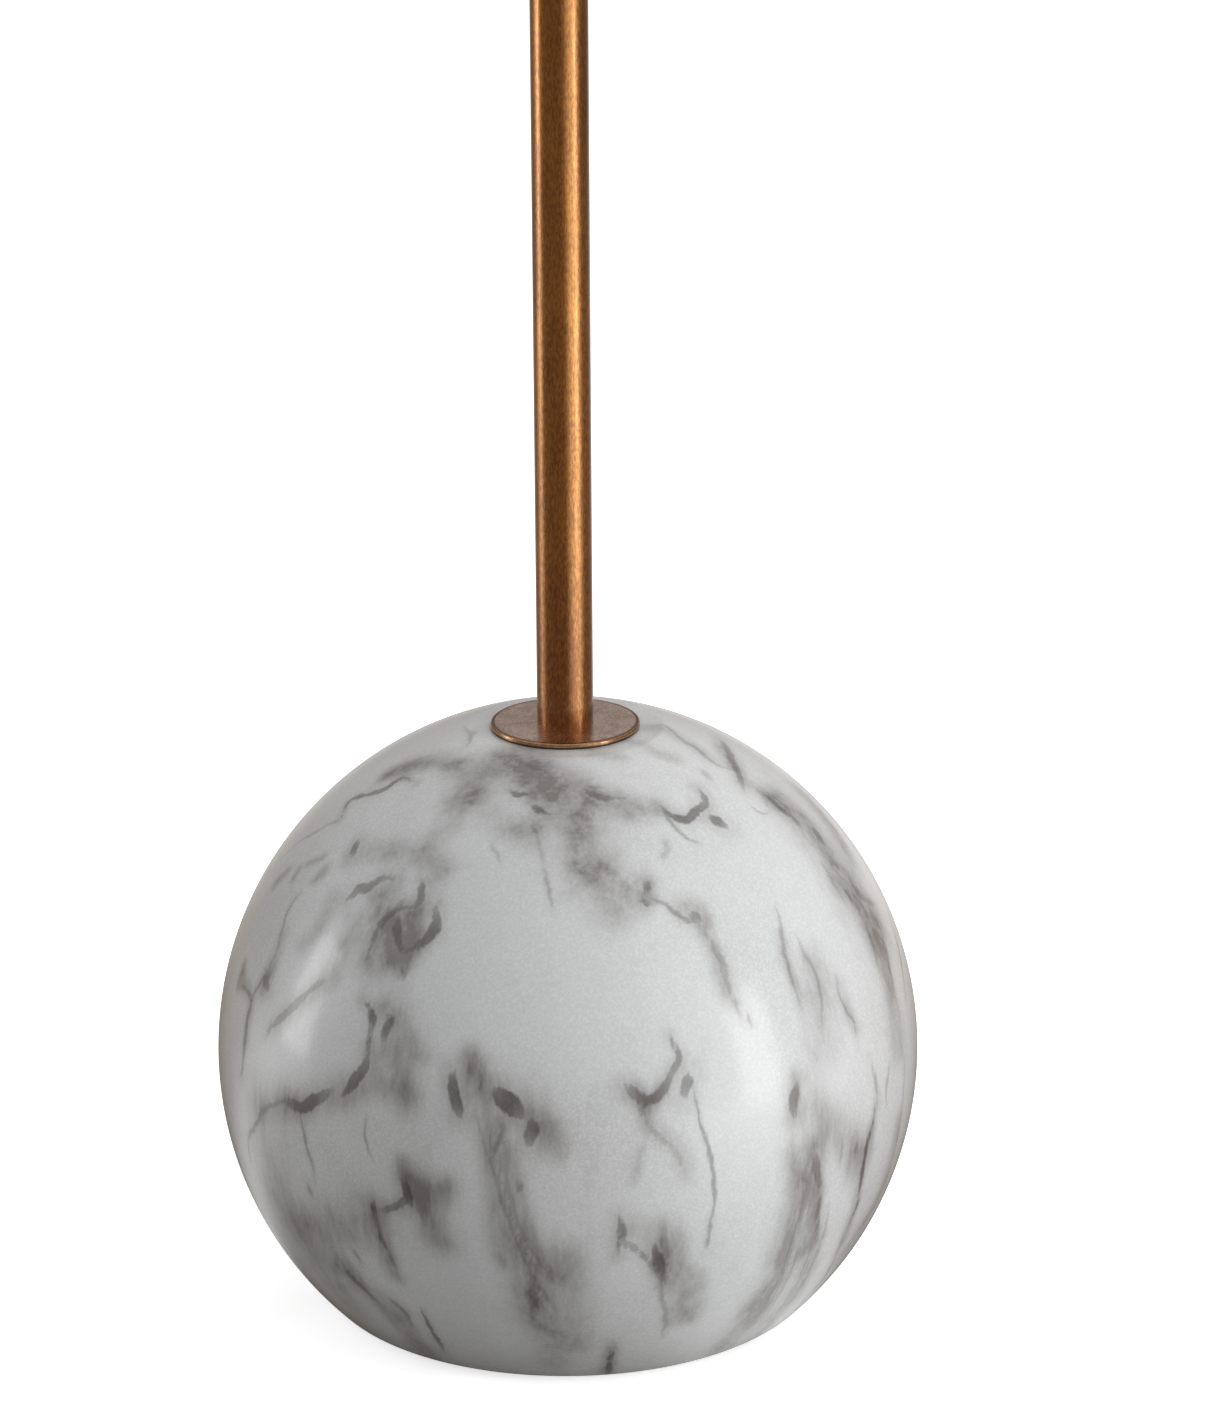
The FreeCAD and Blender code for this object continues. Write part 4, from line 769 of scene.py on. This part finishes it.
def lay_ink(fields, veins, places):
    """Fills the fields of bold and thin strokes; where strokes meet, the deeper one counts."""
    thin_inside = np.full(len(places), -float(INK_REACH))
    for path, half, dark in veins:
        bold = half >= BOLD_HALF
        picked = around(path, places, INK_REACH)
        gap, side, along = follow(path, places[picked])
        swell = np.sin(math.pi * along) ** STROKE_SWELL
        width = half * (THIN_END_WIDTH + (1 - THIN_END_WIDTH) * swell)
        tint = dark * (THIN_END_DARKNESS + (1 - THIN_END_DARKNESS) * swell)
        deep = width - gap
        inside = fields["bold_inside"] if bold else thin_inside
        nearer = deep > inside[picked]
        spots = picked[nearer]
        inside[spots] = deep[nearer]
        fields["bold_dark" if bold else "thin_dark"][spots] = tint[nearer]
        if not bold:
            fields["thin_side"][spots] = (gap * side)[nearer]
            fields["thin_half"][spots] = width[nearer]
            fields["thin_near"][spots] = np.clip(1 + deep[nearer] / INK_REACH, 0, 1)


def lay_haze(field, clouds, places):
    """Adds soft clouds to the haze, each a path, a radius in millimetres and a darkness."""
    for path, radius, dark in clouds:
        picked = around(path, places, radius * HAZE_REACH)
        layer = dark * np.exp(-((follow(path, places[picked])[0] / radius) ** 2))
        field[picked] += layer - field[picked] * layer


def print_marble(mesh):
    """Writes the print's fields on the ball's mesh."""
    places = wavered_places(mesh)
    fields = {name: np.zeros(len(places)) for name in PRINT_FIELDS}
    fields["thin_side"] += INK_REACH
    fields["bold_inside"] -= INK_REACH
    veins = strokes(VEINS)
    lay_ink(fields, veins, places)
    halos = [(path, half * HALO_SPREAD, dark * HALO_SHARE) for path, half, dark in veins]
    lay_haze(fields["haze"], strokes(SMUDGES) + halos, places)
    for name, numbers in fields.items():
        attribute = mesh.attributes.new(name, "FLOAT", "POINT")
        attribute.data.foreach_set("value", numbers.astype(np.float32))


# Ball foot

BALL_SEGMENTS = 480
BALL_RINGS = 172
CAVITY_RINGS = 14
FOOT_ROUND = 4 * MM
FOOT_POINTS = 8
CROWN_ROUND = 5 * MM
CROWN_POINTS = 6
BALL_WALL = 9 * MM
CROWN_BOSS = 20 * MM
CROWN_BOSS_DEPTH = 14 * MM
TUBE_HOLE = 5.3 * MM
RIM_OPENING = 64 * MM
RIM_LEDGE = 6 * MM
RIM_THICKNESS = 5.5 * MM
PAD_SEGMENTS = 192
PAD_ROUND = 0.8 * MM
PAD_POINTS = 6
PAD_CUT = 0.1 * MM


def ball_profile():
    """The ball's section: crown, side, rounded foot, rebate, cavity and boss."""
    inner = BALL_RADIUS - CROWN_ROUND
    crown_angle = math.acos((CROWN - BALL_CENTRE - CROWN_ROUND) / inner)
    crown_centre = (inner * math.sin(crown_angle), CROWN - CROWN_ROUND)
    inner = BALL_RADIUS - FOOT_ROUND
    foot_angle = math.acos((FOOT + FOOT_ROUND - BALL_CENTRE) / inner)
    foot_centre = (inner * math.sin(foot_angle), FOOT + FOOT_ROUND)
    plate_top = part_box("base_plate")[1].z
    floor = plate_top + RIM_THICKNESS
    cavity = BALL_RADIUS - BALL_WALL
    low = math.pi - math.acos((BALL_CENTRE - floor) / cavity)
    high = math.asin(CROWN_BOSS / cavity)
    boss = CROWN - CROWN_BOSS_DEPTH
    centre = (0, BALL_CENTRE)
    profile = [(TUBE_HOLE, CROWN)]
    profile += arc(crown_centre, CROWN_ROUND, 0, crown_angle, CROWN_POINTS)
    profile += arc(centre, BALL_RADIUS, crown_angle, foot_angle, BALL_RINGS)[1:-1]
    profile += arc(foot_centre, FOOT_ROUND, foot_angle, math.pi, FOOT_POINTS)
    profile += [(RIM_OPENING + RIM_LEDGE, FOOT), (RIM_OPENING + RIM_LEDGE, plate_top)]
    profile += [(RIM_OPENING, plate_top), (RIM_OPENING, floor)]
    profile += arc(centre, cavity, low, high, CAVITY_RINGS)
    profile += [(CROWN_BOSS, boss), (TUBE_HOLE, boss)]
    return profile


def pad(felt):
    """The felt under the ball, its lower edge worn round."""
    low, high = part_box("felt_pad")
    edge = high.x
    centre = (edge - PAD_ROUND, low.z + PAD_ROUND)
    profile = [(0, high.z), (0, low.z)]
    profile += arc(centre, PAD_ROUND, math.pi, math.pi / 2, PAD_POINTS)
    profile += [(edge, high.z - PAD_CUT), (edge - PAD_CUT, high.z)]
    dress(lathe("pad", profile, PAD_SEGMENTS), felt, "stand", "felt_pad")


def ball():
    piece = lathe("ball_foot", ball_profile(), BALL_SEGMENTS)
    print_marble(piece.data)
    dress(piece, marble_material(), "stand", "marble_ball")


# Brass pieces

POLE_SEGMENTS = 144
POLE_WALL = 1.2 * MM
POLE_CHAMFER = 0.25 * MM
POLE_FOOT_CHAMFER = 0.025 * MM
TURNED_SEGMENTS = 288
FLANGE_ROUND = 0.7 * MM
FLANGE_POINTS = 8
FLANGE_CHAMFER = 0.2 * MM
KNOB_FLUTES = 36
KNOB_FLUTE_DEPTH = 0.45 * MM
KNOB_EDGE = 1 * MM
KNOB_POINTS = 5
KNOB_SIDE_STEP = 1 * MM
KNOB_FACE_STEP = 0.4 * MM
KNOB_BORE = 2.45 * MM
KNOB_BORE_DEPTH = 8 * MM
DIMPLE_PLACE = 5 * MM
DIMPLE_RADIUS = 1.2 * MM
DIMPLE_DEPTH = 0.5 * MM
THREAD_PITCH = 0.7 * MM
THREAD_DEPTH = 0.35 * MM
SCREW_SHANK = 2 * MM
SCREW_TIP = 41.3 * MM
SCREW_HEAD = 5 * MM
SCREW_HEAD_START = 49 * MM
SCREW_HEAD_EDGE = 0.5 * MM
SCREW_SEGMENTS = 192
GROOVE_SHARE = 0.6
GROOVE_WIDTH = 0.8 * MM
GROOVE_DEPTH = 0.6 * MM
KNURLS = 32
KNURL_STEP = 0.35 * MM
KNURL_DEPTH = 0.35 * MM
KNURL_START = 4.75 * MM
KNURL_TWIST = 1900
SCREW_ANGLES = (90, 210, 330)


def pole(brass):
    """The three sections, with the small chamfers that draw their seams."""
    for place in ("lower", "middle", "upper"):
        low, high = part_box(place + "_pole")
        outer = high.x
        lead = POLE_FOOT_CHAMFER if place == "lower" else POLE_CHAMFER
        section = [
            (outer - POLE_WALL, low.z), (outer - lead, low.z),
            (outer, low.z + lead), (outer, high.z - POLE_CHAMFER),
            (outer - POLE_CHAMFER, high.z), (outer - POLE_WALL, high.z),
        ]
        tube = lathe("pole_" + place, section, POLE_SEGMENTS)
        dress(tube, brass, "stand", place + "_pole")


def crown_disc():
    """The flange on the crown, its upper edge rolled over."""
    low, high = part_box("crown_flange")
    edge = high.x
    centre = (edge - FLANGE_ROUND, high.z - FLANGE_ROUND)
    profile = [
        (TUBE_HOLE, low.z), (edge - FLANGE_CHAMFER, low.z), (edge, low.z + FLANGE_CHAMFER)
    ]
    profile += arc(centre, FLANGE_ROUND, math.pi / 2, 0, FLANGE_POINTS)
    profile.append((TUBE_HOLE, high.z))
    disc = lathe("crown_disc", profile, TURNED_SEGMENTS)
    dress(disc, flange_material(edge), "stand", "crown_flange")


def knob(brass):
    """The dimmer's knob: fluted side, eased rims and a dimple that marks its turn."""
    low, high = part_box("dimmer_knob")
    radius = high.x
    length = high.y - low.y
    inner = radius - KNOB_EDGE
    top = length - KNOB_EDGE
    profile = [(KNOB_BORE, 0)]
    profile += arc((inner, KNOB_EDGE), KNOB_EDGE, math.pi, math.pi / 2, KNOB_POINTS)
    profile += [(radius, z) for z in steps(KNOB_EDGE, top, KNOB_SIDE_STEP)[1:-1]]
    profile += arc((inner, top), KNOB_EDGE, math.pi / 2, 0, KNOB_POINTS)
    profile += [(r, length) for r in steps(inner, 0, KNOB_FACE_STEP)[1:-1]]
    profile += [(0, length), (0, KNOB_BORE_DEPTH), (KNOB_BORE, KNOB_BORE_DEPTH)]
    piece = lathe("knob", profile, TURNED_SEGMENTS)

    def flutes(angle, z, r):
        if r < inner:
            return 0
        wave = 0.5 - 0.5 * math.cos(KNOB_FLUTES * angle)
        return KNOB_FLUTE_DEPTH * wave * (r - inner) / KNOB_EDGE

    press(piece, flutes)
    for vertex in piece.data.vertices:
        x, y, z = vertex.co
        gap = math.hypot(x, y - DIMPLE_PLACE) / DIMPLE_RADIUS
        if gap < 1 and z > KNOB_BORE_DEPTH + KNOB_EDGE:
            vertex.co.z = z - DIMPLE_DEPTH * (1 - gap**2)
    centre = Matrix.Translation((0, high.y, (low.z + high.z) / 2))
    piece.data.transform(centre @ Matrix.Rotation(math.pi / 2, 4, "X"))
    dress(piece, brass, "dimmer", "dimmer_knob")


def screw_profile(end):
    """A thumb screw's section: threaded shank, and a head with a groove round it."""
    root = SCREW_SHANK - THREAD_DEPTH
    groove = SCREW_HEAD_START + GROOVE_SHARE * (end - SCREW_HEAD_START)
    profile = [(0, SCREW_TIP), (root, SCREW_TIP)]
    for crest in steps(SCREW_TIP + THREAD_PITCH / 2, SCREW_HEAD_START - THREAD_PITCH, THREAD_PITCH):
        profile += [(SCREW_SHANK, crest), (root, crest + THREAD_PITCH / 2)]
    profile += [(SCREW_SHANK, SCREW_HEAD_START), (SCREW_HEAD - SCREW_HEAD_EDGE, SCREW_HEAD_START)]
    below = steps(SCREW_HEAD_START + SCREW_HEAD_EDGE, groove - GROOVE_WIDTH, KNURL_STEP)
    above = steps(groove + GROOVE_WIDTH, end - KNOB_EDGE, KNURL_STEP)
    profile += [(SCREW_HEAD, z) for z in below]
    profile += [(SCREW_HEAD - GROOVE_DEPTH, groove + side * GROOVE_WIDTH / 2) for side in (-1, 1)]
    profile += [(SCREW_HEAD, z) for z in above]
    centre = (SCREW_HEAD - KNOB_EDGE, end - KNOB_EDGE)
    profile += arc(centre, KNOB_EDGE, math.pi / 2, 0, KNOB_POINTS)[1:]
    return profile + [(0, end)]


def knurl(turn, z, radius):
    """How deep the crossed knurls of a screw's head are cut at a point."""
    if radius < KNURL_START:
        return 0
    first = math.cos(KNURLS * turn + KNURL_TWIST * z)
    second = math.cos(KNURLS * turn - KNURL_TWIST * z)
    return KNURL_DEPTH * (0.5 - 0.25 * first - 0.25 * second)


def thumb_screws(brass):
    """The screws, made upright and laid on their sides round the pole."""
    low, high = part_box("thumb_screw_1")
    profile = screw_profile(high.y)
    rise = Matrix.Translation((0, 0, (low.z + high.z) / 2))
    for number, degrees in enumerate(SCREW_ANGLES, 1):
        name = f"thumb_screw_{number}"
        piece = lathe(f"thumb_screw_turned_{number}", profile, SCREW_SEGMENTS)
        press(piece, knurl)
        angle = math.radians(degrees)
        outward = Vector((math.cos(angle), math.sin(angle), 0))
        piece.data.transform(rise @ outward.to_track_quat("Z", "Y").to_matrix().to_4x4())
        dress(piece, brass, name, name)


# Globe

GLOBE_SEGMENTS = 256
GLOBE_RINGS = 110
GLASS_WALL = 3 * MM
GLOBE_MOUTH = 41.3 * MM


def globe(opal):
    """The opal glass ball, open below at its mouth."""
    low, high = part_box("glass_globe")
    radius = -low.x
    bore = radius - GLASS_WALL
    centre = (0, high.z - radius)
    outside = math.pi - math.asin(GLOBE_MOUTH / radius)
    inside = math.pi - math.asin(GLOBE_MOUTH / bore)
    profile = arc(centre, radius, 0, outside, GLOBE_RINGS)
    profile += arc(centre, bore, inside, 0, GLOBE_RINGS)
    profile[-1] = (0, high.z - GLASS_WALL)
    piece = lathe("opal_globe", profile, GLOBE_SEGMENTS)
    dress(piece, opal, "globe", "glass_globe")


# Stage

FLOOR_REACH = 6
FLOOR_BOUNCE = 0.5
FLOOR_ROUGHNESS = 0.9
SHADOW_REACH = (0.09, 0.3)
SHADOW_LIFT = 0.68
MIRROR_REACH = (0.12, 0.7)
MIRROR_LIFT = 0.3
SKY = 0.27
ROOM_SHADE = (0.15, 0.118, 0.09)
ROOM_TOP = 0.42
CEILING_RISE = (0.1, 0.5)
# Bright bands of the room: from and to in degrees, softness of the edges and strength
ROOM_BANDS = (
    (28, 72, 18, 0.9), (-112, -90, 12, 0.7), (-215, -152, 12, 0.22), (148, 215, 12, 0.28)
)
WHITE = (1, 1, 1)


def band(angle, low, high, edge):
    """1 between two angles in degrees, 0 outside them, with soft edges."""
    low, high, edge = (math.radians(item) for item in (low, high, edge))
    rise = remap(angle, low - edge, low + edge, smooth=True)
    fall = remap(angle, high + edge, high - edge, smooth=True)
    return maths("MULTIPLY", rise, fall)


def room_in_metal(coordinate):
    """Colour of the room in reflections: soft bands by the angle from the front, right
    positive, and a paler ceiling."""
    tree = coordinate.id_data
    split = add(tree, "SeparateXYZ", {"Vector": coordinate}).outputs
    angle = maths("ARCTAN2", split["X"], maths("MULTIPLY", split["Y"], -1))
    toward = add(tree, "VectorMath", {"Vector": coordinate}, operation="NORMALIZE")
    rise = height_of(toward.outputs["Vector"])
    level = remap(rise, *CEILING_RISE, 0, ROOM_TOP, smooth=True)
    for low, high, edge, strength in ROOM_BANDS:
        lit = maths("MULTIPLY", band(angle, low, high, edge), strength)
        level = maths("MAXIMUM", level, lit)
    return mix(level, ROOM_SHADE, WHITE)


def ray_kinds(tree):
    """Whether a ray is seen directly or through glass, and whether it is a reflection."""
    path = add(tree, "LightPath").outputs
    shown = maths("MAXIMUM", path["Is Camera Ray"], path["Is Transmission Ray"])
    return shown, path["Is Glossy Ray"]


def floor_material():
    """Pale floor that keeps the lamp's shadow, and shows metal the room's colours."""
    material, tree, shader = new_tree("floor")
    shown, mirrored = ray_kinds(tree)
    place = add(tree, "NewGeometry").outputs["Position"]
    distance = length_of(place)
    colour = mix(mirrored, (FLOOR_BOUNCE,) * 3, room_in_metal(place))
    colour = mix(shown, colour, WHITE)
    far = remap(distance, *SHADOW_REACH, SHADOW_LIFT, 1, smooth=True)
    clear = remap(distance, *MIRROR_REACH, MIRROR_LIFT, 1, smooth=True)
    lift = maths("MAXIMUM", maths("MULTIPLY", mirrored, clear), maths("MULTIPLY", shown, far))
    feed(shader, {
        "Base Color": colour, "Roughness": FLOOR_ROUGHNESS, "Specular IOR Level": 0,
        "Emission Color": colour, "Emission Strength": lift,
    })
    return material


def floor():
    mesh = bpy.data.meshes.new("floor")
    sides = ((-1, -1), (1, -1), (1, 1), (-1, 1))
    corners = [(x * FLOOR_REACH, y * FLOOR_REACH, 0) for x, y in sides]
    mesh.from_pydata(corners, [], [(0, 1, 2, 3)])
    mesh.materials.append(floor_material())
    new_object("floor", mesh)


def room():
    """The pale world round the lamp."""
    world = bpy.data.worlds.new("world")
    bpy.context.scene.world = world
    world.use_nodes = True
    tree = world.node_tree
    shown, mirrored = ray_kinds(tree)
    toward = add(tree, "TexCoord").outputs["Generated"]
    colour = mix(mirrored, (SKY,) * 3, room_in_metal(toward))
    colour = mix(shown, colour, WHITE)
    feed(tree.nodes["Background"], {"Color": colour})


def softbox(name, azimuth, distance, height, size, radiance, aim, mirrored=False, spread=180):
    """An area lamp on a circle about the lamp's foot; azimuth 0 is the camera's side."""
    data = bpy.data.lights.new(name, "AREA")
    data.shape = "RECTANGLE"
    data.size, data.size_y = size
    data.energy = radiance * math.pi * size[0] * size[1]
    data.spread = math.radians(spread)
    light = new_object(name, data)
    light.visible_camera = False
    light.visible_glossy = mirrored
    angle = math.radians(azimuth)
    light.location = (distance * math.sin(angle), -distance * math.cos(angle), height)
    direction = Vector((0, 0, aim)) - light.location
    light.rotation_euler = direction.to_track_quat("-Z", "Y").to_euler()


def lights():
    softbox("key", 62, 1.2, 0.33, (0.3, 0.62), 2.2, aim=0.2, mirrored=True)
    softbox("key_fill", 62, 1.25, 0.33, (0.3, 0.62), 9.6, aim=0.2)
    softbox("side", -95, 1.3, 0.33, (0.3, 0.62), 2.4, aim=0.3, mirrored=True)
    softbox("side_fill", -95, 1.35, 0.33, (0.3, 0.62), 1.4, aim=0.3)
    softbox("side_top", -95, 1.3, 0.9, (0.5, 0.5), 1.6, aim=0.3)
    softbox("front_fill", 35, 1.8, 1.0, (0.9, 0.9), 0.8, aim=0.2)
    softbox("top_fill", 60, 0.9, 1.9, (1.2, 1.2), 2.0, aim=0.1)
    softbox("back_fill", 160, 1.6, 1.2, (1.2, 1.0), 2.4, aim=0.1)
    softbox("head_key", 62, 1.4, 1.5, (0.4, 0.6), 1.0, aim=1.45, mirrored=True, spread=70)
    softbox("head_side", -75, 1.5, 1.5, (0.5, 0.8), 0.9, aim=1.45, mirrored=True, spread=70)


def make_finishes():
    """The finishes that pieces and nodes share."""
    made = {"antique_brass": brass_material(), "opal_glass": opal_material()}
    for slot, (tone, second, roughness, special) in PLAIN_FINISHES.items():
        made[slot] = plain_material(slot, tone, second, roughness, **special)
    return made


def finish_nodes(finishes):
    """Gives each node the finish of its slot, where there is one."""
    slots = {item["node"]: item["material_slot"] for item in frame["record"]["subparts"]}
    for name, piece in frame["nodes"].items():
        if slots[name] not in finishes:
            continue
        for place in piece.material_slots:
            place.link = "OBJECT"
            place.material = finishes[slots[name]]


add_camera()
finishes = make_finishes()
pad(finishes["felt"])
ball()
finish_nodes(finishes)
pole(finishes["antique_brass"])
crown_disc()
knob(finishes["antique_brass"])
thumb_screws(finishes["antique_brass"])
globe(finishes["opal_glass"])
floor()
room()
lights()
bpy.context.scene.view_settings.view_transform = "Standard"
